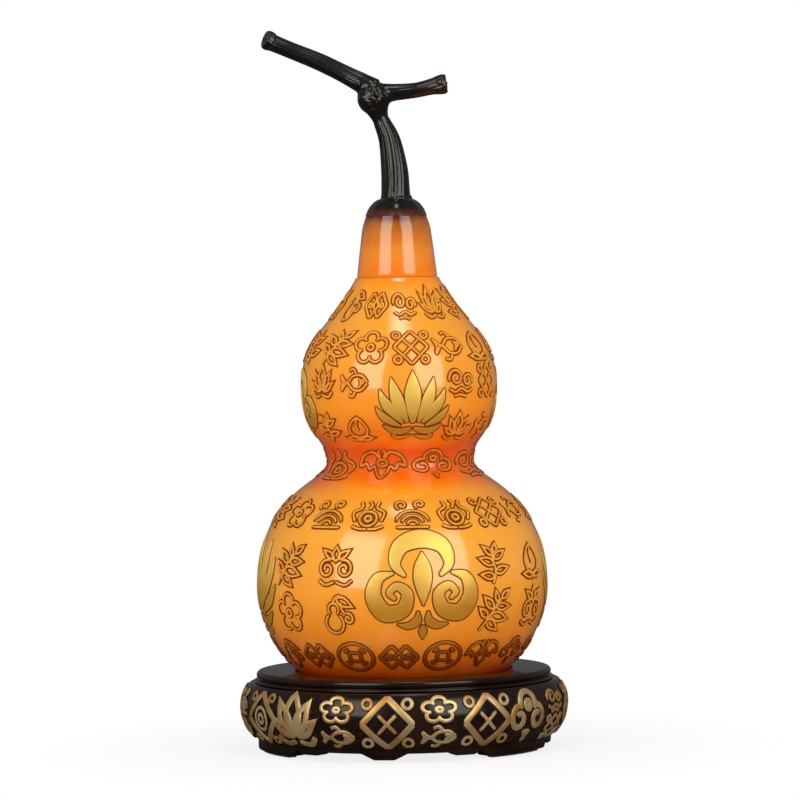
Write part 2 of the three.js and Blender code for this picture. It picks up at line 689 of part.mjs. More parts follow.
function calyxGeometry() {
  const under = new THREE.Path();
  under.moveTo(CAP_SHOULDER_RADIUS, CAP_SHOULDER_HEIGHT);
  capCrown(under);
  const underPoints = under.getPoints(5).slice(0, -1).reverse();
  const over = new THREE.Path();
  over.moveTo(CALYX_RADIUS, CAP_SHOULDER_HEIGHT + GLUE_FILM);
  over.bezierCurveTo(
    CALYX_RADIUS - CALYX_EDGE_PULL_IN, CAP_SHOULDER_HEIGHT + CALYX_EDGE_PULL_UP,
    CALYX_TOP_RADIUS + CALYX_TOP_PULL_OUT, calyxTop - CALYX_TOP_PULL_DOWN,
    CALYX_TOP_RADIUS, calyxTop,
  );
  const overPoints = over.getPoints(5);
  const boreRadius = PIN_RADIUS + SLIDE_GAP;
  const perLobe = 4;
  const columns = [];
  for (let i = 0; i < CALYX_LOBES * perLobe; i++) {
    const angle = (-360 * i) / (CALYX_LOBES * perLobe);
    const lobe = Math.cos((2 * Math.PI * i) / perLobe);
    const ribbed = overPoints.map((point, step) => {
      const rib = CALYX_RIB_DEPTH * lobe * Math.sin((Math.PI * step) / (overPoints.length - 1));
      return around(angle, point.x + rib, point.y);
    });
    const edgeRise = (CALYX_LOBE_DEPTH * (1 - lobe)) / 2;
    ribbed[0] = around(angle, CALYX_RADIUS, CAP_SHOULDER_HEIGHT + GLUE_FILM + edgeRise);
    columns.push([
      around(angle, boreRadius, CAP_CROWN_HEIGHT + GLUE_FILM),
      ...underPoints.slice(1).map((point) => around(angle, point.x, point.y + GLUE_FILM)),
      ...ribbed,
      around(angle, boreRadius, calyxTop),
    ]);
  }
  return loft(columns, true);
}

lid.add(piece("calyx", calyxGeometry(), STEM_LACQUER));

// Vine stem: a ribbed trunk that forks at a burl into two arms with flared, dished cut ends

const vector = (values) => new THREE.Vector3(...values);

// A ribbed branch along a curve whose radius passes evenly through the given ones
function branch(points, radii, steps, dish) {
  const curve = new THREE.CatmullRomCurve3(points.map(vector));
  const frames = curve.computeFrenetFrames(steps, false);
  const sides = STEM_RIBS * 3;
  const ring = (step, inset, back) => {
    const place = (step / steps) * (radii.length - 1);
    const from = Math.min(Math.floor(place), radii.length - 2);
    const radius = THREE.MathUtils.lerp(radii[from], radii[from + 1], place - from) - inset;
    const centre = curve.getPointAt(step / steps).addScaledVector(frames.tangents[step], -back);
    return Array.from({ length: sides }, (_, side) => {
      const turn = (2 * Math.PI * side) / sides;
      const ribbed = radius * (1 + STEM_RIB_DEPTH * Math.cos(STEM_RIBS * turn));
      return centre.clone()
        .addScaledVector(frames.normals[step], ribbed * Math.cos(turn))
        .addScaledVector(frames.binormals[step], ribbed * Math.sin(turn));
    });
  };
  const rings = Array.from({ length: steps + 1 }, (_, step) => ring(step, 0, 0));
  if (dish > 0) {
    rings.push(ring(steps, CUT_RIM, dish));
  }
  return solidOf(loft(rings, false));
}

function burl() {
  const geometry = new THREE.SphereGeometry(BURL_RADIUS, 14, 10);
  const place = geometry.attributes.position;
  for (let i = 0; i < place.count; i++) {
    const at = new THREE.Vector3().fromBufferAttribute(place, i);
    const out = at.clone().normalize();
    const across = Math.sin(5 * out.x + 1) * Math.sin(6 * out.y);
    const upward = Math.sin(6 * out.z + 2) * Math.cos(4 * out.x);
    at.addScaledVector(out, BURL_BUMP * (across + upward));
    place.setXYZ(i, ...at.add(vector(BURL_CENTRE)).toArray());
  }
  return solidOf(geometry);
}

function stemGeometry() {
  const trunk = branch(
    [[0, 0, -TRUNK_TRIM], TRUNK_BEND, TRUNK_LEAN, TRUNK_NECK, BURL_CENTRE],
    [STEM_FOOT_RADIUS, TRUNK_RADIUS, TRUNK_MIDDLE_RADIUS, TRUNK_NECK_RADIUS, TRUNK_ROOT_RADIUS], 9, 0,
  );
  const left = branch(
    [LEFT_ROOT, LEFT_BOW, LEFT_TIP],
    [LEFT_ROOT_RADIUS, LEFT_ARM_RADIUS, LEFT_ARM_RADIUS, LEFT_CUT_RADIUS], 7, CUT_DISH,
  );
  const right = branch(
    [RIGHT_ROOT, RIGHT_BOW, RIGHT_TIP],
    [RIGHT_ROOT_RADIUS, RIGHT_ARM_RADIUS, RIGHT_ARM_RADIUS, RIGHT_CUT_RADIUS], 7, CUT_DISH,
  );
  const belowFoot = solidOf(cylinder(2 * STEM_FOOT_RADIUS, -2 * TRUNK_TRIM, 0, SCREW_SEGMENTS));
  const whole = geometryOf(trunk.add(left).add(right).add(burl()).subtract(belowFoot));
  whole.translate(0, 0, stemFoot);
  return drillPin(whole);
}

lid.add(piece("vine_stem", stemGeometry(), STEM_LACQUER));
lid.add(piece("stem_pin", cylinder(PIN_RADIUS, pinTop - PIN_LENGTH, pinTop, SCREW_SEGMENTS), STEEL));

gourd.add(lid);
const bottle = new THREE.Group();
bottle.add(stand, gourd);

export default bottle;
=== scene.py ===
import math

import bpy
import numpy as np
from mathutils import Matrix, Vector, noise


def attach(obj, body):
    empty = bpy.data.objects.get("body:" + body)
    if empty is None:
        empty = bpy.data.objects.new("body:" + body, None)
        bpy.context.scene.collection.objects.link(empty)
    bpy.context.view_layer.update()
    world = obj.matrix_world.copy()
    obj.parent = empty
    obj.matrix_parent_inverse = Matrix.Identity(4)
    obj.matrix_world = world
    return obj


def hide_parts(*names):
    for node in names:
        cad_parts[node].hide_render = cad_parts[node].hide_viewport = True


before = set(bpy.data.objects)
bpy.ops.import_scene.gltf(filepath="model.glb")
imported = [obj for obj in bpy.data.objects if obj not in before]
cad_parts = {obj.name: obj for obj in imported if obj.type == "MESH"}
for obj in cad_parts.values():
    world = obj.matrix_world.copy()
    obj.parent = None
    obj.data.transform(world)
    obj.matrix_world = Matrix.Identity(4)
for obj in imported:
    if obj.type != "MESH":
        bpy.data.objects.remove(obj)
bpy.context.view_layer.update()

# Studio: a long lens a little above the neck's seam, which leans by the photograph's small roll. Two tall
# softboxes stand in front, one hangs overhead and two weaker ones light the sides, over a pale floor in
# a white room. In gloss the room shows as dim grey, so that black lacquer stays black.

CAMERA_PLACE = (0.0, -2.35, 0.25)
CAMERA_AIM = (0.0004, 0.0, 0.1798)
CAMERA_LENS = 204.5
CAMERA_ROLL = -0.95
LIGHT_AIM = Vector((0.0, 0.0, 0.16))
ROOM_FILL = 0.55
ROOM_GLOSS = 0.12
FLOOR_GAP = 0.0001
FLOOR_WHITE = 0.82
CLOTH_WHITE = (1, 0.98, 0.86, 1)
FLOOR_FADE = (0.09, 0.22)


class Shade:
    """A node's output in one material. Sums on it add Math nodes, and node() adds any other kind."""

    def __init__(self, tree, socket=None):
        self.tree = tree
        self.socket = socket

    def node(self, kind, settings=(), inputs=(), output=0):
        made = self.tree.nodes.new("ShaderNode" + kind)
        for name, value in dict(settings).items():
            if name == "stops":
                for place, colour in value[2:]:
                    made.color_ramp.elements.new(place)
                for stop, (place, colour) in zip(made.color_ramp.elements, value):
                    stop.position = place
                    stop.color = colour
            else:
                setattr(made, name, value)
        for key, value in dict(inputs).items():
            if isinstance(value, Shade):
                self.tree.links.new(value.socket, made.inputs[key])
            else:
                made.inputs[key].default_value = value
        return Shade(self.tree, made.outputs[output] if made.outputs else None)

    def sum(self, operation, first, second):
        return self.node("Math", {"operation": operation}, {0: first, 1: second})

    def __add__(self, other):
        return self.sum("ADD", self, other)

    def __sub__(self, other):
        return self.sum("SUBTRACT", self, other)

    def __rsub__(self, other):
        return self.sum("SUBTRACT", other, self)

    def __mul__(self, other):
        return self.sum("MULTIPLY", self, other)

    __radd__ = __add__
    __rmul__ = __mul__

    def rise(self, low, high):
        """0 below low and 1 above high, with a smooth step between them."""
        return self.node("MapRange", {"interpolation_type": "SMOOTHSTEP"},
                         {"Value": self, "From Min": low, "From Max": high})

    def tint(self, first, second):
        """The first colour where this is 0 and the second where it is 1."""
        return self.node("Mix", {"data_type": "RGBA"}, {"Factor": self, 6: first, 7: second}, 2)

    def specks(self, spot, scale, detail, roughness=0.5, distortion=0.0):
        """Noise over these coordinates."""
        return self.node("TexNoise", inputs={
            "Vector": spot, "Scale": scale, "Detail": detail, "Roughness": roughness, "Distortion": distortion})

    def finish(self, sockets):
        """Ends a material in one Principled surface."""
        self.node("OutputMaterial", inputs={"Surface": self.node("BsdfPrincipled", inputs=sockets)})


def paint(code):
    """A colour written as six hex digits, as the linear numbers that a shader takes."""
    parts = [int(code[place:place + 2], 16) / 255 for place in (0, 2, 4)]
    return (*(part / 12.92 if part < 0.04045 else ((part + 0.055) / 1.055) ** 2.4 for part in parts), 1.0)


def new_material(name):
    """An empty material, and a Shade from which its nodes are added."""
    material = bpy.data.materials.new(name)
    material.use_nodes = True
    material.node_tree.nodes.clear()
    return material, Shade(material.node_tree)


def softbox(azimuth, height, distance, width, tall, radiance, fade=(0.1, 0.1), mirrored=True):
    """A rectangular lamp at an azimuth counted from the front, turned to the object. Its cloth is dimmer
    towards its left and right edges, over these shares of its width, and a little at top and bottom."""
    turn = math.radians(azimuth)
    place = Vector((distance * math.sin(turn), -distance * math.cos(turn), height))
    aim = (LIGHT_AIM - place).to_track_quat("-Z", "Y").to_euler()
    bpy.ops.object.light_add(type="AREA", location=place, rotation=aim)
    bpy.context.object.visible_glossy = mirrored
    lamp = bpy.context.object.data
    lamp.shape = "RECTANGLE"
    lamp.size = width
    lamp.size_y = tall
    lamp.energy = radiance * math.pi * width * tall
    lamp.use_nodes = True
    lamp.node_tree.nodes.clear()
    cloth = Shade(lamp.node_tree)
    spot = cloth.node("NewGeometry", output="Parametric")
    across = cloth.node("SeparateXYZ", inputs={"Vector": spot}, output="X")
    up = cloth.node("SeparateXYZ", inputs={"Vector": spot}, output="Y")
    sideways = across.rise(0, fade[0]) * (1 - across).rise(0, fade[1])
    upright = up.rise(0, 0.03) * (1 - up).rise(0, 0.3)
    lit = cloth.node("Emission", inputs={"Color": CLOTH_WHITE, "Strength": sideways * upright})
    cloth.node("OutputLight", inputs={"Surface": lit})


bpy.ops.object.select_all(action="DESELECT")
camera_turn = (Vector(CAMERA_AIM) - Vector(CAMERA_PLACE)).to_track_quat("-Z", "Y").to_euler()
camera_turn.rotate_axis("Z", math.radians(CAMERA_ROLL))
bpy.ops.object.camera_add(location=CAMERA_PLACE, rotation=camera_turn)
camera = bpy.context.object
camera.data.lens = CAMERA_LENS
bpy.context.scene.camera = camera
bpy.context.scene.view_settings.view_transform = "Standard"

softbox(azimuth=-37.5, height=0.94, distance=1.75, width=1.34, tall=1.9, radiance=2.3, fade=(0.15, 0.03))
softbox(azimuth=38, height=0.94, distance=1.75, width=1.3, tall=1.9, radiance=2.3, fade=(0.03, 0.15))
softbox(azimuth=8, height=1.9, distance=0.45, width=0.9, tall=0.6, radiance=3.8, fade=(0.5, 0.5))
softbox(azimuth=115, height=0.45, distance=1.9, width=0.9, tall=1.0, radiance=1.2, mirrored=False)
softbox(azimuth=-115, height=0.45, distance=1.9, width=0.9, tall=1.0, radiance=1.2, mirrored=False)

world = bpy.data.worlds.new("white_room")
world.use_nodes = True
world.node_tree.nodes.clear()
bpy.context.scene.world = world
room = Shade(world.node_tree)
seen = room.node("LightPath", output="Is Camera Ray")
glossy = room.node("LightPath", output="Is Glossy Ray")
through = room.node("LightPath", output="Is Transmission Ray")
level = ROOM_FILL + (glossy + through) * (ROOM_GLOSS - ROOM_FILL) + seen * (1 - ROOM_FILL)
backdrop = room.node("Background", inputs={"Color": (1, 1, 1, 1), "Strength": level})
room.node("OutputWorld", inputs={"Surface": backdrop})

bpy.ops.mesh.primitive_plane_add(size=9, location=(0, 0, -FLOOR_GAP))
floor = bpy.context.object
floor.name = "floor"
floor_paint, start = new_material("floor_paint")
floor_seen = start.node("LightPath", output="Is Camera Ray")
matt = start.node("BsdfDiffuse", inputs={"Color": paint("F2F2F2")})
glow = start.node("Emission", inputs={"Color": (1, 1, 1, 1), "Strength": 1})
spot = start.node("TexCoord", output="Object")
away = start.node("VectorMath", {"operation": "LENGTH"}, {0: spot}, "Value")
whitened = FLOOR_WHITE + away.rise(*FLOOR_FADE) * (1 - FLOOR_WHITE)
pale = start.node("MixShader", inputs={"Fac": floor_seen * whitened, 1: matt, 2: glow})
floor_mirrored = start.node("LightPath", output="Is Glossy Ray")
shaded = start.node("BsdfDiffuse", inputs={"Color": paint("4A4A4A")})
start.node("OutputMaterial", inputs={"Surface": start.node("MixShader", inputs={
    "Fac": floor_mirrored, 1: pale, 2: shaded})})
floor.data.materials.append(floor_paint)

# Foot pads: three arcs of dark wool felt, punched from a sheet and glued under the broad feet of the
# stand. The face is matted with short fibres and the cut edges are soft.

MM = 0.001
STAND_BOTTOM = 1.1
PAD_MIDDLE = 71.55
PAD_HALF_WIDTH = 2.3
PAD_THICKNESS = 1.0
PAD_SWEEP = 30
PAD_STEPS = 24
FOOT_ANGLES = (52, 172, 292)


def pick(*objects):
    """Selects these objects alone, with the last one active."""
    bpy.ops.object.select_all(action="DESELECT")
    for chosen in objects:
        chosen.select_set(True)
        bpy.context.view_layer.objects.active = chosen


def placed(name, data):
    """A new object at the origin for a mesh or a curve, selected alone."""
    made = bpy.data.objects.new(name, data)
    bpy.context.scene.collection.objects.link(made)
    pick(made)
    return made


def turned(name, outline, steps, base=0, sweep=360.0):
    """A solid turned about Z from points (radius, height above a base) in millimetres, its ends closed."""
    mesh = bpy.data.meshes.new(name)
    points = [(radius * MM, 0.0, (height + base) * MM) for radius, height in outline]
    mesh.from_pydata(points, [(place, place + 1) for place in range(len(points) - 1)], [])
    piece = placed(name, mesh)
    bpy.ops.object.mode_set(mode="EDIT")
    bpy.ops.mesh.select_all(action="SELECT")
    bpy.ops.mesh.spin(steps=steps, angle=math.radians(sweep), center=(0, 0, 0), axis=(0, 0, 1))
    bpy.ops.mesh.select_all(action="SELECT")
    bpy.ops.mesh.remove_doubles(threshold=1e-6)
    if sweep < 360:
        bpy.ops.mesh.fill_holes(sides=0)
        bpy.ops.mesh.select_all(action="SELECT")
    bpy.ops.mesh.normals_make_consistent(inside=False)
    bpy.ops.object.mode_set(mode="OBJECT")
    return piece


def turn_to(piece, angle):
    """Turns a piece's mesh about Z, so that what lay on +X lies at an angle counted from the front."""
    turn = math.radians(angle - 90)
    for vertex in piece.data.vertices:
        x, y, z = vertex.co
        vertex.co = (x * math.cos(turn) - y * math.sin(turn), x * math.sin(turn) + y * math.cos(turn), z)


def smooth(piece, angle=35):
    """Smooth shading, broken where faces meet at more than the angle."""
    pick(piece)
    bpy.ops.object.shade_smooth_by_angle(angle=math.radians(angle))


def own(piece, material, body, slot, *nodes):
    """Gives a finished piece its material and body, and names the nodes that it stands for. The slot is not
    used.
    """
    piece.data.materials.clear()
    piece.data.materials.append(material)
    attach(piece, body)
    if nodes:
        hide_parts(*nodes)


felt, start = new_material("wool_felt")
spot = start.node("TexCoord", output="Object")
fibres = start.specks(spot, 2600.0, 4.0, 0.7)
matting = start.specks(spot, 240.0, 3.0)
felt_colour = (fibres * 0.7 + matting * 0.3).rise(0.3, 0.7).tint(paint("1A1512"), paint("3E3530"))
felt_bump = start.node("Bump", inputs={"Strength": 0.5, "Distance": 0.0002, "Height": fibres})
start.finish({
    "Base Color": felt_colour, "Roughness": 0.95, "Sheen Weight": 0.4, "Normal": felt_bump})

pad_section = [
    (PAD_MIDDLE - PAD_HALF_WIDTH, 0.25), (PAD_MIDDLE - PAD_HALF_WIDTH + 0.2, 0.0),
    (PAD_MIDDLE, 0.0), (PAD_MIDDLE + PAD_HALF_WIDTH - 0.2, 0.0), (PAD_MIDDLE + PAD_HALF_WIDTH, 0.25),
    (PAD_MIDDLE + PAD_HALF_WIDTH, 0.75), (PAD_MIDDLE + PAD_HALF_WIDTH - 0.2, PAD_THICKNESS),
    (PAD_MIDDLE - PAD_HALF_WIDTH + 0.2, PAD_THICKNESS), (PAD_MIDDLE - PAD_HALF_WIDTH, 0.75),
]
for number, foot_angle in enumerate(FOOT_ANGLES, 1):
    pad = turned(f"felt_foot_{number}", [*pad_section, pad_section[0]], PAD_STEPS, sweep=PAD_SWEEP)
    turn_to(pad, foot_angle + PAD_SWEEP / 2)
    smooth(pad, 50)
    own(pad, felt, "stand", "felt", f"foot_pad_{number}")

# Stand drum: a hollow barrel cast in resin, lacquered black-brown, on a foot ring whose underside is cut
# to a lobed apron. The gilt carving on it is a piece of its own, so the ground lies a little deeper here.

DRUM_HEIGHT = 33.9
DRUM_BORE = 58
BOARD_SEAT = 67.3
BOARD_LEDGE = 7.5
FOOT_RING = 75.8
FOOT_RING_HEIGHT = 5
CARVING_DEPTH = 1.2
DRUM_STEPS = 432
APRON_TURN = -8
APRON_REPEATS = 3
APRON_OUTLINE = (
    (0, 0), (4, 0), (9, 3.2), (25, 3.2), (28, 1.5), (36, 1.5), (38.75, 3.8), (41.5, 0), (60, 0),
)


def bezier(first, second, third, fourth, count):
    """Points along a cubic curve, without its last one."""
    points = []
    for step in range(count):
        share = step / count
        rest = 1 - share
        weights = (rest ** 3, 3 * rest ** 2 * share, 3 * rest * share ** 2, share ** 3)
        corners = (first, second, third, fourth)
        points.append(tuple(sum(weight * corner[axis] for weight, corner in zip(weights, corners))
                            for axis in (0, 1)))
    return points


def barrel_outline(depth, count):
    """The barrel from its base to its top, that much inside its full radius."""
    base, bulge, top = 77 - depth, 85.3 - depth, 81 - depth
    return [
        *bezier((base, 5), (base + 5, 8.4), (bulge, 14.9), (bulge, 21.4), count),
        *bezier((bulge, 21.4), (bulge, 26.9), (top + 2.6, 30.9), (top, DRUM_HEIGHT), count),
        (top, DRUM_HEIGHT),
    ]


drum_outline = [
    (BOARD_SEAT, 0), (FOOT_RING, 0), (FOOT_RING, FOOT_RING_HEIGHT),
    *barrel_outline(CARVING_DEPTH, 14),
    (DRUM_BORE, DRUM_HEIGHT), (DRUM_BORE, BOARD_LEDGE), (BOARD_SEAT, BOARD_LEDGE), (BOARD_SEAT, 0),
]
drum = turned("drum", drum_outline, DRUM_STEPS, STAND_BOTTOM)
apron_angles = [angle for angle, rise in APRON_OUTLINE]
apron_rises = [rise for angle, rise in APRON_OUTLINE]
apron_period = 360 / APRON_REPEATS
for vertex in drum.data.vertices:
    if vertex.co.z < (STAND_BOTTOM + 0.01) * MM:
        from_front = math.degrees(math.atan2(vertex.co.x, -vertex.co.y))
        from_tip = (from_front - APRON_TURN) % apron_period
        from_tip = min(from_tip, apron_period - from_tip)
        vertex.co.z += np.interp(from_tip, apron_angles, apron_rises) * MM
pick(drum)
softened = drum.modifiers.new("edges", "BEVEL")
softened.width = 0.45 * MM
softened.segments = 2
softened.limit_method = "ANGLE"
softened.angle_limit = math.radians(40)
bpy.ops.object.modifier_apply(modifier=softened.name)
smooth(drum)

stand_lacquer, start = new_material("black_brown_lacquer")
spot = start.node("TexCoord", output="Object")
cloudy = start.specks(spot, 38.0, 4.0)
grains = start.specks(spot, 420.0, 3.0)
ground = cloudy.rise(0.35, 0.7).tint(paint("120905"), paint("24130B"))
rubbed = grains.rise(0.55, 0.8).tint(ground, paint("32190E"))
dull = 0.1 + grains * 0.1
uneven = start.node("Bump", inputs={"Strength": 0.12, "Distance": 0.0004, "Height": cloudy + grains * 0.12})
start.finish({
    "Base Color": rubbed, "Roughness": dull, "Specular IOR Level": 0.4, "Coat Weight": 0.15,
    "Coat Roughness": 0.12, "Normal": uneven})
own(drum, stand_lacquer, "stand", "stand_lacquer", "stand_drum")

# Bottom board: a disc of brown hardboard that closes the drum from below, held against its ledge by
# three countersunk zinc-plated screws with a crossed slot.

SCREW_CIRCLE = 62.5
SCREW_SEAT = 5.5
SCREW_OUTLINE = (
    (0, 0), (2.6, 0), (2.9, 0.25), (1.5, 1.6), (1.5, 2.2), (1.2, 2.45), (1.5, 2.7), (1.5, 3.2), (1.2, 3.45),
    (1.5, 3.7), (1.5, 4.2), (1.2, 4.45), (1.5, 4.7), (1.5, 9.5), (0, 11),
)

hardboard, start = new_material("hardboard")
spot = start.node("TexCoord", output="Object")
strands = start.specks(spot, 900.0, 5.0, distortion=1.2)
sheet_tone = start.specks(spot, 45.0, 2.0)
board_colour = (strands * 0.75 + sheet_tone * 0.25).rise(0.3, 0.7).tint(paint("4A3324"), paint("7A5A40"))
board_bump = start.node("Bump", inputs={"Strength": 0.3, "Distance": 0.0003, "Height": strands})
start.finish({
    "Base Color": board_colour, "Roughness": 0.75, "Normal": board_bump})

zinc, start = new_material("zinc_plate")
spot = start.node("TexCoord", output="Object")
spangle = start.specks(spot, 700.0, 3.0)
start.finish({
    "Base Color": spangle.tint(paint("8C8C88"), paint("B9BAB6")), "Metallic": 1.0,
    "Roughness": 0.28 + spangle * 0.2})


def dress(node, material):
    """Gives a carried-over node its material."""
    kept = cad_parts[node]
    kept.data.materials.clear()
    kept.data.materials.append(material)


dress("bottom_board", hardboard)
for number, screw_angle in enumerate(FOOT_ANGLES, 1):
    screw = turned(f"screw_{number}", SCREW_OUTLINE, 32)
    for slot_turn in (0, 90):
        bpy.ops.mesh.primitive_cube_add(size=1, rotation=(0, 0, math.radians(slot_turn)))
        slot_cutter = bpy.context.object
        slot_cutter.scale = (3.4 * MM, 0.7 * MM, 1.8 * MM)
        cut = screw.modifiers.new("slot", "BOOLEAN")
        cut.object = slot_cutter
        pick(screw)
        bpy.ops.object.modifier_apply(modifier=cut.name)
        bpy.data.objects.remove(slot_cutter)
    turn = math.radians(screw_angle)
    for vertex in screw.data.vertices:
        vertex.co.x += SCREW_CIRCLE * math.sin(turn) * MM
        vertex.co.y -= SCREW_CIRCLE * math.cos(turn) * MM
        vertex.co.z += SCREW_SEAT * MM
    smooth(screw)
    own(screw, zinc, "stand", "screw_steel", f"board_screw_{number}")

# Stand carving: a band of old ornament cast with the drum, its flat tops gilded and rubbed back to the
# lacquer along the edges. Twenty places around hold lozenges, tall motifs and stacked pairs of small ones.

CARVING_PLACES = 20
CARVING_TURN = -6
CARVING_MIDDLE = 20.0
FINE_SHARE = 0.58
CARVED_LIFT = 1.0
SMALL_SIZE = (18.5, 13.6)
SMALL_STEP = 6.9
TALL_SIZE = (26.5, 30)
LOZENGE_SIZE = (26, 26.8)
CARVED_SECTION = (
    (-2.1, -0.3), (-2.1, 0.08), (-1.75, 0.16), (-1.5, 0.86), (-1.2, 0.98), (0, 1.0),
    (1.2, 0.98), (1.5, 0.86), (1.75, 0.16), (2.1, 0.08), (2.1, -0.3),
)


def arc(x, y, radius, start_angle, end_angle):
    """Points on an arc between two angles in degrees."""
    sweep = end_angle - start_angle
    steps = max(4, round(abs(sweep) / 20))
    turns = [math.radians(start_angle + sweep * step / steps) for step in range(steps + 1)]
    return [(x + radius * math.cos(turn), y + radius * math.sin(turn)) for turn in turns]


def ring(x, y, radius):
    return arc(x, y, radius, 0, 360)


def curl(x, y, outer, inner, start_angle, sweep):
    """Points on a spiral whose radius goes evenly from the outer to the inner one."""
    steps = max(6, round(abs(sweep) / 22))
    points = []
    for step in range(steps + 1):
        share = step / steps
        turn = math.radians(start_angle + sweep * share)
        radius = outer + (inner - outer) * share
        points.append((x + radius * math.cos(turn), y + radius * math.sin(turn)))
    return points


def bow(*knots):
    """A smooth line through knots of any number of values."""
    padded = [knots[0], *knots, knots[-1]]
    points = []
    for before, first, second, after in zip(padded, padded[1:], padded[2:], padded[3:]):
        for share in (0.0, 0.2, 0.4, 0.6, 0.8):
            points.append(tuple(
                b + 0.5 * share * (c - a + share * (2 * a - 5 * b + 4 * c - d + share * (3 * b - a - 3 * c + d)))
                for a, b, c, d in zip(before, first, second, after)))
    return [*points, knots[-1]]


def stepped(points):
    """The same line with points added, so that its straight runs follow a curved surface."""
    dense = []
    for here, after in zip(points, points[1:]):
        steps = math.ceil(math.dist(here, after) / 0.16)
        dense += [tuple(h + (a - h) * step / steps for h, a in zip(here, after)) for step in range(steps)]
    return [*dense, points[-1]]


def bent(*corners):
    """Straight runs between corners, each inner corner eased, and a closed run's first one too."""
    ease = 0.09
    closed = corners[0] == corners[-1]
    points = []
    for place, corner in enumerate(corners):
        if place in (0, len(corners) - 1) and not closed:
            points.append(corner)
            continue
        before = corners[place - 1] if place else corners[-2]
        after = corners[place + 1] if place < len(corners) - 1 else corners[1]
        for toward in (before, after):
            share = ease / math.dist(corner, toward)
            points.append(tuple(c + (t - c) * share for c, t in zip(corner, toward)))
    return stepped([*points[:-2], points[0]] if closed else points)


def leaf(x, y, tip_x, tip_y, belly):
    """A closed leaf from its foot to its tip, as wide on each side as the belly's share of its length."""
    along = (tip_x - x, tip_y - y)
    shares = (0.0, 0.14, 0.32, 0.5, 0.68, 0.86, 1.0)
    def edge(share, side):
        out = side * belly * math.sin(math.pi * share ** 0.8)
        return (x + along[0] * share - along[1] * out, y + along[1] * share + along[0] * out)
    return [edge(share, 1) for share in shares] + [edge(share, -1) for share in shares[-2::-1]]


def both(*strokes):
    """The strokes and their mirror images."""
    return [*strokes, *([(-knot[0], *knot[1:]) for knot in stroke] for stroke in strokes)]


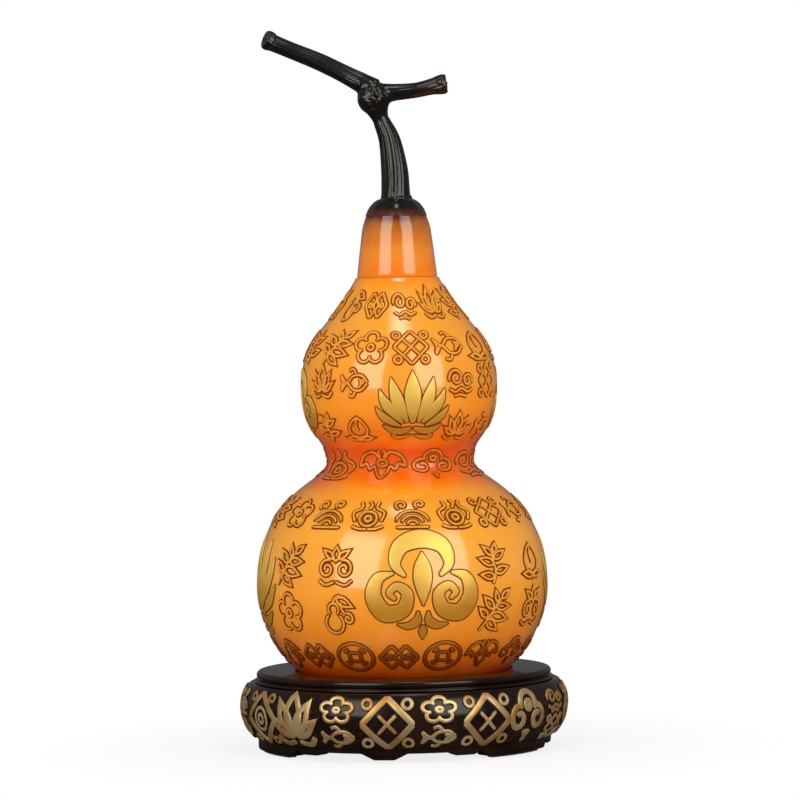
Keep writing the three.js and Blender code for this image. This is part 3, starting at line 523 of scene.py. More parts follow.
MOTIFS = {
    "cloud": [
        curl(-0.42, 0.22, 0.56, 0.13, 205, -500), curl(0.52, 0.06, 0.42, 0.11, -30, 500),
        bow((-0.95, -0.42), (-0.5, -0.62), (0, -0.42), (0.5, -0.62), (0.95, -0.42)),
        bow((-0.6, -0.88), (-0.1, -0.78), (0.45, -0.92)),
    ],
    "coin": [
        ring(0, 0, 0.95), bent((-0.3, -0.3), (0.3, -0.3), (0.3, 0.3), (-0.3, 0.3), (-0.3, -0.3)),
        *(arc(0, 0, 0.62, quarter + 25, quarter + 65) for quarter in (0, 90, 180, 270)),
    ],
    "scrolls": [
        *both(curl(-0.48, -0.08, 0.46, 0.1, 60, 520), bow((-0.95, -0.6), (-0.55, -0.85), (0, -0.68))),
        leaf(0, 0.3, 0, 0.98, 0.3), *both(leaf(-0.12, 0.42, -0.7, 0.82, 0.2)),
    ],
    "knot": [
        bent((0, 0.98), (0.98, 0), (0, -0.98), (-0.98, 0), (0, 0.98)),
        bent((-0.5, 0.5), (0.5, -0.5)), bent((-0.5, -0.5), (0.5, 0.5)),
        *both(ring(-0.78, 0.72, 0.2), ring(-0.78, -0.72, 0.2)),
    ],
    "blossom": [
        *(arc(0.58 * math.cos(math.radians(petal)), 0.58 * math.sin(math.radians(petal)), 0.37,
              petal - 128, petal + 128) for petal in (90, 162, 234, 306, 378)),
        ring(0, 0, 0.17),
    ],
    "lotus": [
        leaf(0, -0.38, 0, 0.98, 0.26),
        *both(leaf(-0.14, -0.4, -0.72, 0.62, 0.2), leaf(-0.25, -0.48, -0.98, 0.02, 0.17),
              bow((-0.95, -0.5), (-0.6, -0.82), (-0.08, -0.7))),
    ],
    "bat": [
        *both(bow((-0.1, 0.42), (-0.36, 0.82), (-0.8, 0.62), (-0.98, 0.05), (-0.7, 0.16), (-0.56, -0.16),
                  (-0.34, 0.02), (-0.22, -0.42), (0, -0.9)),
              bow((-0.06, 0.5), (-0.16, 0.75), (-0.06, 0.95))),
        ring(0, 0.2, 0.2),
    ],
    "gourd": [
        arc(-0.12, -0.42, 0.5, 118, 422), arc(-0.12, 0.28, 0.29, -58, 238),
        bow((-0.12, 0.57), (-0.02, 0.82), (0.3, 0.95)), leaf(0.06, 0.8, 0.92, 0.42, 0.22),
        curl(0.66, -0.18, 0.3, 0.08, 120, -420), bow((0.3, 0.62), (0.34, 0.3), (0.52, 0.08)),
    ],
    "fish": [
        bow((0.95, 0.02), (0.55, 0.45), (-0.05, 0.42), (-0.5, 0.02), (-0.95, 0.5)),
        bow((0.95, 0.02), (0.5, -0.4), (-0.05, -0.38), (-0.5, 0.02), (-0.95, -0.5)),
        bent((-0.95, 0.5), (-0.76, 0.02), (-0.95, -0.5)), ring(0.58, 0.08, 0.1), arc(0.2, 0.02, 0.3, -70, 70),
        bow((0.2, 0.55), (-0.05, 0.85), (-0.35, 0.72)), bow((0.1, -0.5), (-0.1, -0.78), (-0.4, -0.7)),
    ],
    "wave": [
        arc(0, -0.72, 0.95, 12, 168), arc(0, -0.72, 0.62, 12, 168), arc(0, -0.72, 0.3, 5, 175),
        curl(-0.55, 0.62, 0.34, 0.08, 250, -450), curl(0.45, 0.68, 0.3, 0.08, 250, -450),
        bent((-0.95, -0.85), (0.95, -0.85)),
    ],
    "sprig": [
        bow((-0.15, -0.98), (0.06, -0.4), (-0.06, 0.3), (0.1, 0.62)), leaf(0.1, 0.55, 0.25, 0.98, 0.3),
        leaf(0.04, -0.4, 0.9, -0.2, 0.2), leaf(0, 0, -0.85, 0.28, 0.2), leaf(0.02, 0.25, 0.75, 0.6, 0.2),
        leaf(-0.03, -0.62, -0.85, -0.5, 0.2), leaf(-0.02, 0.42, -0.55, 0.85, 0.2),
    ],
    "sceptre": [
        arc(0, 0.46, 0.42, -28, 208), *both(curl(-0.5, -0.02, 0.44, 0.12, 75, 430)),
        bow((-0.14, -0.42), (0, -0.62), (0.14, -0.42)), bent((0, -0.62), (0, -0.95)), ring(0, 0.42, 0.13),
    ],
    "lozenges": [
        bent((-0.98, 0), (-0.36, 0.8), (0.26, 0), (-0.36, -0.8), (-0.98, 0)),
        bent((0.98, 0), (0.36, 0.8), (-0.26, 0), (0.36, -0.8), (0.98, 0)), *both(ring(-0.5, 0, 0.14)),
    ],
    "peach": [
        bow((0.05, 0.8), (-0.42, 0.5), (-0.68, -0.02), (-0.42, -0.52), (0, -0.62), (0.42, -0.52), (0.68, -0.02),
            (0.42, 0.5), (0.05, 0.8)),
        bow((0.05, 0.8), (-0.12, 0.3), (-0.02, -0.12)), *both(leaf(-0.02, -0.68, -0.92, -0.62, 0.18)),
        bent((0, -0.65), (0, -0.98)),
    ],
    "pearl": [
        ring(0, -0.28, 0.48), ring(0, -0.28, 0.18), bow((-0.05, 0.35), (0.12, 0.6), (-0.05, 0.98)),
        *both(bow((-0.72, -0.5), (-0.86, 0.1), (-0.42, 0.45), (-0.5, 0.92)),
              bow((-0.9, -0.75), (-0.5, -0.92), (0, -0.95))),
    ],
    "bamboo": [
        bow((-0.85, -0.95), (-0.4, -0.35), (0.08, 0.3), (0.4, 0.6)), leaf(0.42, 0.62, 0.9, 0.98, 0.24),
        leaf(-0.48, -0.4, 0.28, -0.95, 0.22), leaf(-0.28, -0.16, 0.85, -0.42, 0.2),
        leaf(0.06, 0.22, 0.95, 0.22, 0.2), leaf(-0.42, -0.28, -0.95, 0.18, 0.22),
        leaf(-0.1, 0.14, -0.7, 0.72, 0.22), leaf(0.16, 0.44, 0.02, 0.98, 0.22),
    ],
}


def stroke_section(name, points):
    """A closed section that strokes are swept with, in millimetres."""
    section = bpy.data.curves.new(name, "CURVE")
    section.dimensions = "2D"
    spline = section.splines.new("POLY")
    spline.points.add(len(points) - 1)
    for point, (x, y) in zip(spline.points, points):
        point.co = (x, y, 0, 1)
    spline.use_cyclic_u = True
    return placed(name, section)


def raised_motif(strokes, width, tall, section):
    """Strokes of a motif in its unit square, swept at the given size, flat and in millimetres."""
    curve = bpy.data.curves.new("strokes", "CURVE")
    curve.dimensions = "2D"
    curve.fill_mode = "NONE"
    curve.bevel_mode = "OBJECT"
    curve.bevel_object = section
    curve.use_fill_caps = True
    for stroke in strokes:
        closed = math.dist(stroke[0], stroke[-1]) < 1e-6
        points = stroke[:-1] if closed else stroke
        spline = curve.splines.new("POLY")
        spline.points.add(len(points) - 1)
        spline.use_cyclic_u = closed
        for point, (x, y) in zip(spline.points, points):
            point.co = (x * width / 2, y * tall / 2, 0, 1)
        if not closed:
            spline.points[0].radius = 0.7
            spline.points[-1].radius = 0.6
    placed("motif", curve)
    bpy.ops.object.convert(target="MESH")
    motif = bpy.context.object
    bpy.ops.object.mode_set(mode="EDIT")
    bpy.ops.mesh.select_all(action="SELECT")
    bpy.ops.mesh.remove_doubles(threshold=1e-4)
    bpy.ops.mesh.normals_make_consistent(inside=False)
    bpy.ops.object.mode_set(mode="OBJECT")
    return motif


def meridian(outline, base=0):
    """An outline of (radius, height above a base) points with its running length and outward normals."""
    radius, height = np.array([(reach, rise + base) for reach, rise in outline]).T
    steps = np.hypot(np.diff(radius), np.diff(height))
    run = np.concatenate([[0], np.cumsum(steps)])
    slope_radius = np.gradient(radius, run)
    slope_height = np.gradient(height, run)
    return {"run": run, "radius": radius, "height": height, "out": slope_height, "up": -slope_radius}


def wrap(motif, line, azimuth, height, full_lift):
    """Lays a flat motif on a turned surface at an azimuth and height, and marks how far it stands out."""
    mesh = motif.data
    flat = np.empty(len(mesh.vertices) * 3)
    mesh.vertices.foreach_get("co", flat)
    across, along, lift = flat.reshape(-1, 3).T
    run = np.interp(height, line["height"], line["run"]) + along
    radius = np.interp(run, line["run"], line["radius"])
    turn = math.radians(azimuth) + across / radius
    reach = radius + lift * np.interp(run, line["run"], line["out"])
    rise = np.interp(run, line["run"], line["height"]) + lift * np.interp(run, line["run"], line["up"])
    spots = np.stack([reach * np.sin(turn), -reach * np.cos(turn), rise], axis=1) * MM
    mesh.vertices.foreach_set("co", spots.ravel())
    mark = mesh.attributes.new("lift", "FLOAT", "POINT")
    mark.data.foreach_set("value", np.clip(lift / full_lift, 0, 1))
    mesh.update()


def gathered(name, motifs):
    """Joins wrapped motifs into one named piece."""
    pick(*motifs)
    bpy.ops.object.join()
    band = bpy.context.object
    band.name = name
    band.data.name = name
    smooth(band, 40)
    return band


carved_section = stroke_section("carved_section", CARVED_SECTION)
fine_section = stroke_section("fine_section", [(x * FINE_SHARE, y) for x, y in CARVED_SECTION])
inner_section = stroke_section("inner_section", [(x * FINE_SHARE, y * 0.8) for x, y in CARVED_SECTION])
stand_line = meridian(barrel_outline(CARVING_DEPTH, 40), STAND_BOTTOM)
LOZENGE = [bent((0, 1), (1, 0), (0, -1), (-1, 0), (0, 1))]
LOZENGE_FILLS = (
    [*both(ring(-0.78, 0.76, 0.18), ring(-0.78, -0.76, 0.18)), bent((-0.4, 0.4), (0.4, -0.4)),
     bent((-0.4, -0.4), (0.4, 0.4))],
    [*both(curl(-0.72, 0.78, 0.24, 0.06, -60, 420), curl(-0.72, -0.78, 0.24, 0.06, 60, -420)),
     ring(0, 0, 0.42), bent((-0.16, -0.16), (0.16, -0.16), (0.16, 0.16), (-0.16, 0.16), (-0.16, -0.16))],
)
tall_motifs = ["sceptre", "gourd", "bamboo", "lotus"]
small_motifs = ["coin", "cloud", "blossom", "fish", "lozenges", "bat", "lotus", "cloud", "knot", "coin",
               "peach", "blossom", "fish", "wave", "sceptre", "coin"]
carved = []
for place in range(CARVING_PLACES):
    azimuth = CARVING_TURN + place * 360 / CARVING_PLACES
    if place % 5 in (1, 4):
        for step in (1, -1):
            strokes = MOTIFS[small_motifs[len(carved) % len(small_motifs)]]
            motif = raised_motif(strokes, *SMALL_SIZE, fine_section)
            wrap(motif, stand_line, azimuth, CARVING_MIDDLE + step * SMALL_STEP, CARVED_LIFT)
            carved.append(motif)
        continue
    if place % 5 == 3:
        parts = [(MOTIFS[tall_motifs[place // 5]], *TALL_SIZE, carved_section)]
    else:
        fill = LOZENGE_FILLS[place % 2]
        parts = [(LOZENGE, *LOZENGE_SIZE, carved_section), (fill, *LOZENGE_SIZE, inner_section)]
    for strokes, width, tall, section in parts:
        motif = raised_motif(strokes, width, tall, section)
        wrap(motif, stand_line, azimuth, CARVING_MIDDLE, CARVED_LIFT)
        carved.append(motif)
carving = gathered("stand_carving", carved)

gilt, start = new_material("rubbed_gilding")
spot = start.node("TexCoord", output="Object")
lift = start.node("Attribute", {"attribute_name": "lift"}, output="Fac")
worn = start.specks(spot, 330.0, 5.0, 0.65)
leaf_tone = start.specks(spot, 70.0, 3.0)
gold_here = (lift + worn * 0.36 - 0.18).rise(0.62, 0.86)
gold_colour = leaf_tone.rise(0.3, 0.7).tint(paint("DEA258"), paint("FFE0AA"))
scratched = start.node("Bump", inputs={"Strength": 0.3, "Distance": 0.0002, "Height": worn})
start.finish({
    "Base Color": gold_here.tint(paint("1B100A"), gold_colour), "Metallic": gold_here * 0.85,
    "Roughness": 0.34 + worn * 0.2, "Normal": scratched})
own(carving, gilt, "stand", "gilding")

# Stand top: a round disc with a lip, a fine groove and a full-round edge, lacquered as the drum is, set
# in the drum's bore by a spigot. A shallow seat is turned into it for the gourd.

DISC_FACE = 34.1
DISC_RADIUS = 76.2
DISC_EDGE = 4.1
LIP_RADIUS = 77.4
LIP_HEIGHT = 1.5
GROOVE_RADIUS = 74.8
GROOVE_TOP = 1.8
DISC_THICKNESS = 5.9
SEAT_RADIUS = 56.3
SEAT_DEPTH = 3.3
SPIGOT_RADIUS = 57.7
SPIGOT_DEPTH = 3


def half_round(middle_radius, middle_height, radius, count):
    """Points round an edge, from its underside to its top."""
    turns = [-math.pi / 2 + math.pi * step / count for step in range(count + 1)]
    return [(middle_radius + radius * math.cos(turn), middle_height + radius * math.sin(turn))
            for turn in turns]


disc_outline = [
    (0, -SPIGOT_DEPTH), (SPIGOT_RADIUS, -SPIGOT_DEPTH), (SPIGOT_RADIUS, 0),
    *half_round(LIP_RADIUS - LIP_HEIGHT / 2, LIP_HEIGHT / 2, LIP_HEIGHT / 2, 8),
    (GROOVE_RADIUS, LIP_HEIGHT), (GROOVE_RADIUS, GROOVE_TOP),
    *half_round(DISC_RADIUS - DISC_EDGE / 2, DISC_THICKNESS - DISC_EDGE / 2, DISC_EDGE / 2, 14),
    (SEAT_RADIUS + 6, DISC_THICKNESS), (SEAT_RADIUS + 0.5, DISC_THICKNESS),
    (SEAT_RADIUS, DISC_THICKNESS - 0.5), (SEAT_RADIUS, DISC_THICKNESS - SEAT_DEPTH),
    (0, DISC_THICKNESS - SEAT_DEPTH),
]
disc = turned("disc", disc_outline, 256, STAND_BOTTOM + DISC_FACE - 0.1)
smooth(disc)
own(disc, stand_lacquer, "stand", "stand_lacquer", "stand_top")

# Seat felt: a loose disc of the same dark wool felt, punched from a sheet and laid in the stand top's
# seat, so that the gourd's foot doesn't grind on the lacquer. Only the gourd's weight holds it.

FELT_BOTTOM = 37.8
FELT_TOP = 39.0
FELT_RADIUS = 56.0

seat_outline = [
    (0, FELT_BOTTOM), (FELT_RADIUS - 0.25, FELT_BOTTOM), (FELT_RADIUS, FELT_BOTTOM + 0.3),
    (FELT_RADIUS, FELT_TOP - 0.3), (FELT_RADIUS - 0.25, FELT_TOP), (FELT_RADIUS - 8, FELT_TOP),
    (0, FELT_TOP),
]
seat = turned("felt_disc", seat_outline, 128)
smooth(seat, 50)
own(seat, felt, "seat", "felt", "seat_felt")

# Gourd body: a hollow bottle of amber art glass, deep in colour and polished, paler where the bulbs are
# full and red-brown at the waist and foot. The mouth is straight, for the lid's plug.

GOURD_FOOT = 39.3
GOURD_WALL = 6
GOURD_FLOOR = 7
KICK_RADIUS = 46
KICK_DEPTH = 1.5
RIM_RADIUS = 21.3
RIM_HEIGHT = 204.1
MOUTH_RADIUS = 14.6
MOUTH_DEPTH = 12


def gourd_outline(count):
    """The gourd's outer line from foot to rim, heights above its foot."""
    return [
        *bezier((54, 0), (61.3, 7.3), (74.8, 23.4), (74.8, 44.7), count),
        *bezier((74.8, 44.7), (74.8, 94.5), (37.7, 99.5), (37.7, 108.5), count),
        *bezier((37.7, 108.5), (37.7, 122.9), (50.4, 120.5), (50.4, 148.8), count),
        *bezier((50.4, 148.8), (50.4, 175.1), (35.7, 176.7), (RIM_RADIUS, RIM_HEIGHT), count),
        (RIM_RADIUS, RIM_HEIGHT),
    ]


outer_line = gourd_outline(28)
wall_line = meridian(outer_line)
inner_line = [
    (radius - GOURD_WALL * out, height - GOURD_WALL * up)
    for radius, height, out, up in zip(*(wall_line[part] for part in ("radius", "height", "out", "up")))
]
inner_line = [
    (radius, height) for radius, height in inner_line
    if GOURD_FLOOR < height < RIM_HEIGHT - MOUTH_DEPTH and radius > MOUTH_RADIUS
]
body_outline = [
    (0, KICK_DEPTH), (KICK_RADIUS, KICK_DEPTH), (KICK_RADIUS + KICK_DEPTH, 0), *outer_line[:-1],
    (RIM_RADIUS + 0.15, RIM_HEIGHT - 0.35), (RIM_RADIUS - 0.2, RIM_HEIGHT - 0.1),
    (RIM_RADIUS - 0.8, RIM_HEIGHT), (MOUTH_RADIUS + 0.4, RIM_HEIGHT), (MOUTH_RADIUS, RIM_HEIGHT - 0.4),
    (MOUTH_RADIUS, RIM_HEIGHT - MOUTH_DEPTH), *reversed(inner_line),
    (inner_line[0][0] - GOURD_WALL, GOURD_FLOOR), (0, GOURD_FLOOR),
]
body = turned("amber_body", body_outline, 192, GOURD_FOOT)
smooth(body)

AMBER_LOW = 39.0
AMBER_HIGH = 285.0
AMBER_TONES = (
    (39, "B84000"), (45, "DE5A00"), (54, "E67C10"), (66, "EE8C1A"), (84, "FC9E2C"), (104, "FEA836"),
    (122, "FEA424"), (135, "FE9A16"), (141, "FA7200"), (147, "F66000"), (156, "EC5200"), (163, "F07004"),
    (176, "FE921C"), (205, "FEA22A"), (234, "FEA42A"), (243, "FE9010"), (247, "F87C06"), (257, "E88416"),
    (266, "C66C0E"), (272, "A0520C"), (274.2, "5A1E08"), (279, "1C0F08"),
)


def amber_tone(start, spot):
    """The glass's own colour at each height, with a slow drift in it."""
    drift = start.specks(spot, 22.0, 3.0, 0.5)
    height = start.node("SeparateXYZ", inputs={"Vector": spot}, output="Z")
    share = (height * (1 / MM) + (drift - 0.5) * 9 - AMBER_LOW) * (1 / (AMBER_HIGH - AMBER_LOW))
    stops = [((level - AMBER_LOW) / (AMBER_HIGH - AMBER_LOW), paint(code)) for level, code in AMBER_TONES]
    return start.node("ValToRGB", {"stops": stops}, {"Fac": share})


amber, start = new_material("amber_glass")
spot = start.node("TexCoord", output="Object")
tone = amber_tone(start, spot)
veil = start.specks(spot, 60.0, 4.0)
glass_colour = (veil.rise(0.45, 0.75) * 0.12).tint(tone, paint("FFC070"))
start.finish({
    "Base Color": glass_colour, "Roughness": 0.13 + veil * 0.06,
    "Coat Weight": 0.9, "Coat Roughness": 0.05, "Coat IOR": 1.7,
    "Subsurface Weight": 0.25, "Subsurface Radius": (1.0, 0.4, 0.12), "Subsurface Scale": 0.008})
own(body, amber, "gourd", "amber_glass", "gourd_body")

# Gourd relief: rows of the same old motifs standing out of the glass, with brown glaze left in the cuts
# round each stroke and the crowned tops polished back to amber. Here and there the tops are browner, and
# speckled gold with a little metal is painted on them as glints.

RELIEF_SECTION = (
    (-1.3, -0.3), (-1.3, 0.04), (-0.92, 0.1), (-0.66, 0.4), (-0.36, 0.55), (0, 0.6),
    (0.36, 0.55), (0.66, 0.4), (0.92, 0.1), (1.3, 0.04), (1.3, -0.3),
)
RELIEF_LIFT = 0.6
# Each row: its height, how many motifs, the first one's azimuth, the motifs' width and height
FULL_ROWS = (
    ("crown_row", 229, 13, 6.5, 11.8, 20),
    ("shoulder_row", 208, 14, 8, 18, 19),
    ("waist_row", 147, 9, -14, 24, 19),
    ("belly_row", 124, 18, 5, 18.5, 18),
    ("foot_row", 52, 18, -2, 20, 18),
)
# Rows that leave room for the large motifs: height, width and tallness
SIDE_ROWS = (
    ("upper_side_row", 190, 16, 17),
    ("lower_side_row", 166.5, 15, 16),
    ("upper_belly_row", 98, 20, 21),
    ("lower_belly_row", 74, 20, 21),
)
LARGE_TURN = 8
SIDE_ANGLES = (31, 55)

relief_section = stroke_section("relief_section", RELIEF_SECTION)
gourd_line = meridian(gourd_outline(60), GOURD_FOOT)
order = list(MOTIFS)

relief, start = new_material("amber_relief")
spot = start.node("TexCoord", output="Object")
lift = start.node("Attribute", {"attribute_name": "lift"}, output="Fac")
tone = amber_tone(start, spot)
height = start.node("SeparateXYZ", inputs={"Vector": spot}, output="Z") * (1 / MM)
# These specks brown the stroke tops and paint gold glints on them, with a little metal. They also vary the
# roughness and the edge of the glaze.
wear_and_glint_specks = start.specks(spot, 95.0, 4.0)
brown_and_glint_tone = wear_and_glint_specks.rise(0.35, 0.65).tint(paint("B87020"), paint("E8AE48"))
stroke_tone_with_painted_glints = (0.3 + wear_and_glint_specks * 0.3).tint(tone, brown_and_glint_tone)
top_colour = height.rise(48, 70).tint(paint("7A3004"), stroke_tone_with_painted_glints)
glaze = height.rise(130, 150).tint(paint("6E2C00"), paint("8A3A00"))
clear_top = (lift + wear_and_glint_specks * 0.3 - 0.15).rise(0.6, 0.95)
start.finish({
    "Base Color": clear_top.tint(glaze, top_colour), "Roughness": 0.16 + wear_and_glint_specks * 0.1,
    "Metallic": clear_top * wear_and_glint_specks.rise(0.5, 0.7) * 0.4, "Specular IOR Level": 0.25,
    "Coat Weight": 0.15, "Coat Roughness": 0.04})

for number, (name, height, count, turn, width, tall) in enumerate(FULL_ROWS):
    motifs = []
    for place in range(count):
        strokes = MOTIFS[order[(place * 5 + number * 3) % len(order)]]
        motif = raised_motif(strokes, width, tall, relief_section)
        wrap(motif, gourd_line, turn + place * 360 / count, height, RELIEF_LIFT)
        motifs.append(motif)
    own(gathered(name, motifs), relief, "gourd", "amber_glass")
for number, (name, height, width, tall) in enumerate(SIDE_ROWS):
    motifs = []
    for quarter in range(4):
        for column, turn in enumerate(SIDE_ANGLES):
            strokes = MOTIFS[order[(quarter * 7 + column * 3 + number * 5) % len(order)]]
            motif = raised_motif(strokes, width, tall, relief_section)
            wrap(motif, gourd_line, LARGE_TURN + quarter * 90 + turn, height, RELIEF_LIFT)
            motifs.append(motif)
    own(gathered(name, motifs), relief, "gourd", "amber_glass")

# Large gilded motifs: four on each bulb, their broad flat faces covered with brushed gold leaf inside a
# fine brown cut. They stand as high as the small relief. The leaf's colour is a painted reflection: pale
# gold towards each motif's top and brown-gold towards its foot.

GILT_LIFT = 0.5
GILT_GRID = 2.5
LOWER_LARGE = 88
UPPER_LARGE = 178
UPPER_SCALE = 0.66


def brush(knots, scale, grow):
    """A closed outline round a smooth line through knots (x, y, half width), with round ends."""
    path = [(x * scale, y * scale, max(half * scale + grow, 0.05)) for x, y, half in bow(*knots)]
    left, right = [], []
    for before, here, after in zip([path[0], *path], path, [*path[1:], path[-1]]):
        heading = math.atan2(after[1] - before[1], after[0] - before[0])
        across = (-math.sin(heading) * here[2], math.cos(heading) * here[2])
        left.append((here[0] + across[0], here[1] + across[1]))
        right.append((here[0] - across[0], here[1] - across[1]))

    def tip(end, inner):
        heading = math.atan2(end[1] - inner[1], end[0] - inner[0])
        return [(end[0] + end[2] * math.cos(heading + turn), end[1] + end[2] * math.sin(heading + turn))
                for turn in (1.05, 0.52, 0, -0.52, -1.05)]

    return left + tip(path[-1], path[-2]) + right[::-1] + tip(path[0], path[1])


LARGE_MOTIFS = {
    "lotus": [
        [(0, -11, 2.2), (0, -2, 4.8), (0, 9, 6.3), (0, 19, 3.9), (0, 27, 0.3)],
        *both(
            [(-4.6, -11.5, 1.4), (-8.6, -3, 3.6), (-12.4, 6, 4.6), (-15, 14.5, 3), (-16.6, 22, 0.3)],
            [(-8, -12.6, 1), (-14, -6, 3), (-19.4, 0.2, 3.9), (-23.4, 6.5, 2.6), (-25.6, 13, 0.3)],
            [(-10.5, -15.2, 0.8), (-16.6, -12, 2.2), (-22, -8.6, 2.8), (-26, -4.6, 1.8),
             (-28.6, -0.5, 0.3)],
            [(-2.4, -18, 1.6), (-8, -20, 2.5), (-15, -19.4, 2.3), (-22.4, -15, 0.5)],
            [(-1.8, -24, 0.6), (-6.5, -25.6, 1.5), (-11.5, -26, 1.5), (-14.8, -24.2, 1.2),
             (-13.4, -22.8, 0.7)],
        ),
    ],
    "cloud_head": [
        [(-9.6, 6.2, 1), (-13.8, 12, 2.6), (-10.4, 21, 4), (0, 24.6, 4.8), (10.4, 21, 4), (13.8, 12, 2.6),
         (9.6, 6.2, 1)],
        *both(
            [(-15.5, 7, 0.8), (-22.6, 4.4, 2.8), (-25.2, -4.5, 4), (-19.4, -13, 4.4), (-10.4, -11.5, 3.8),
             (-8, -3.6, 2.8), (-13, 0.6, 2), (-17, -2.8, 1.6), (-14.6, -5.6, 1)],
            [(-12.5, -19, 0.4), (-7.5, -19.8, 1.8), (-3.2, -17.4, 2.2), (-2.6, -13, 0.7)],
        ),
        [(0, 17.4, 0.4), (0, 11, 3.8), (0, 4, 4.6), (0, -3, 2.8), (0, -9, 0.4)],
        [(0, -20.5, 1), (0, -23, 2), (0, -27, 0.3)],
    ],
}


def filled_plate(knots, scale, grow, low, high, edge):
    """A flat plate round a brushed line, grown by a margin, between two heights, its edges rounded."""
    outline = brush(knots, scale, grow - edge)
    curve = bpy.data.curves.new("plate", "CURVE")
    curve.dimensions = "2D"
    curve.fill_mode = "BOTH"
    curve.extrude = (high - low) / 2 - edge
    curve.bevel_depth = edge
    curve.bevel_resolution = 2
    spline = curve.splines.new("POLY")
    spline.points.add(len(outline) - 1)
    spline.use_cyclic_u = True
    for point, (x, y) in zip(spline.points, outline):
        point.co = (x, y, 0, 1)
    placed("plate", curve)
    bpy.ops.object.convert(target="MESH")
    plate = bpy.context.object
    bpy.ops.object.mode_set(mode="EDIT")
    bpy.ops.mesh.select_all(action="SELECT")
    bpy.ops.mesh.remove_doubles(threshold=1e-4)
    reach = math.ceil(30 * scale / GILT_GRID)
    for step in range(-reach, reach + 1):
        for direction in ((1, 0, 0), (0, 1, 0)):
            at = step * GILT_GRID
            bpy.ops.mesh.select_all(action="SELECT")
            bpy.ops.mesh.bisect(plane_co=(at, at, 0), plane_no=direction)
    bpy.ops.mesh.select_all(action="SELECT")
    bpy.ops.mesh.normals_make_consistent(inside=False)
    bpy.ops.object.mode_set(mode="OBJECT")
    for vertex in plate.data.vertices:
        vertex.co.z += (low + high) / 2
    return plate


def gilded_motif(name, scale, azimuth, height):
    """One large motif wrapped on the gourd, as gilded plates inside brown margins."""
    plates = []
    for knots in LARGE_MOTIFS[name]:
        for grow, low, top, edge in ((0.65, -0.4, 0.1, 0.05), (0.0, -0.4, GILT_LIFT, 0.22)):
            plate = filled_plate(knots, scale, grow, low, top, edge)
            wrap(plate, gourd_line, azimuth, height, GILT_LIFT)
            plates.append(plate)
    return plates


gold_leaf, start = new_material("brushed_gold_leaf")
spot = start.node("TexCoord", output="Object")
lift = start.node("Attribute", {"attribute_name": "lift"}, output="Fac")
stretched = start.node("Mapping", inputs={"Vector": spot, "Scale": (1.0, 1.0, 0.12)})
brushed = start.specks(stretched, 900.0, 4.0)
patina = start.specks(spot, 55.0, 4.0, 0.6)
level = start.node("SeparateXYZ", inputs={"Vector": spot}, output="Z") * (1 / MM)
# Painted reflection: the leaf is painted paler towards the top of each large motif and browner towards its foot,
# as if lit from above, with random patina noise mixed in.
painted_reflection_rise = level.rise(66, 108) - level.rise(139, 141) + level.rise(162, 192)
patina_and_painted_reflection = (painted_reflection_rise * 0.8 + patina * 0.5 - 0.15).rise(0, 1)
gold_with_painted_reflection = patina_and_painted_reflection.tint(paint("C88016"), paint("FFD060"))
gold_here = lift.rise(0.35, 0.6)
brushing = start.node("Bump", inputs={"Strength": 0.25, "Distance": 0.0002, "Height": brushed})
start.finish({
    "Base Color": gold_here.tint(paint("6E2C00"), gold_with_painted_reflection), "Metallic": gold_here * 0.35,
    "Roughness": 0.24 + brushed * 0.18, "Coat Weight": 0.1, "Coat Roughness": 0.1, "Normal": brushing})

lower_plates = []
upper_plates = []
for quarter in range(4):
    turn = LARGE_TURN + quarter * 90
    lower_plates += gilded_motif("lotus" if quarter % 2 else "cloud_head", 1.0, turn, LOWER_LARGE)
    upper_plates += gilded_motif("cloud_head" if quarter % 2 else "lotus", UPPER_SCALE, turn, UPPER_LARGE)
own(gathered("lower_gilding", lower_plates), gold_leaf, "gourd", "gilding")
own(gathered("upper_gilding", upper_plates), gold_leaf, "gourd", "gilding")

# Lid: a neck cap of the same amber with a plug into the mouth and a ring of pale silicone in the plug's
# groove. Towards the top the glass darkens to brown-black under the calyx.

SEAM = 243.7
PLUG_RADIUS = 14.0
SEAL_FLOOR = 12.0
SEAL_MIDDLE = SEAM - 5

crown_line = bezier((15.2, 32.4), (12.2, 35.4), (6, 38.6), (0, 38.6), 14)
cap_outline = [
    (0, -10), (PLUG_RADIUS - 1, -10), (PLUG_RADIUS, -9), (PLUG_RADIUS, -6.8), (SEAL_FLOOR, -6.8),
    (SEAL_FLOOR, -3.2), (PLUG_RADIUS, -3.2), (PLUG_RADIUS, -0.25), (20.2, -0.25), (20.55, 0),
    *bezier((20.7, 0.5), (17.2, 28.9), (18.3, 23.5), (15.2, 32.4), 24), *crown_line, (0, 38.6),
]
cap = turned("amber_cap", cap_outline, 160, SEAM)
smooth(cap)
own(cap, amber, "lid", "amber_glass", "lid_cap")

silicone, start = new_material("pale_silicone")
spot = start.node("TexCoord", output="Object")
dusty = start.specks(spot, 500.0, 3.0)
start.finish({
    "Base Color": dusty.tint(paint("C9C1B4"), paint("DAD4C8")), "Roughness": 0.5 + dusty * 0.2})
seal_section = [
    (12.3, -1.5), (13.6, -1.5), (13.9, -1.2), (14.2, -0.5), (14.3, 0), (14.2, 0.5), (13.9, 1.2),
    (13.6, 1.5), (12.3, 1.5), (12.3, -1.5),
]
seal = turned("silicone_ring", seal_section, 96, SEAL_MIDDLE)
smooth(seal, 60)
own(seal, silicone, "seal", "seal_rubber", "lid_seal")

# Calyx: a small domed skirt of black lacquered resin between cap and stem, with soft ribs that run from
# its lobed edge up to the stem's foot. It is glued on the cap round the pin.

CALYX_LOBES = 8
CALYX_RIB = 0.28

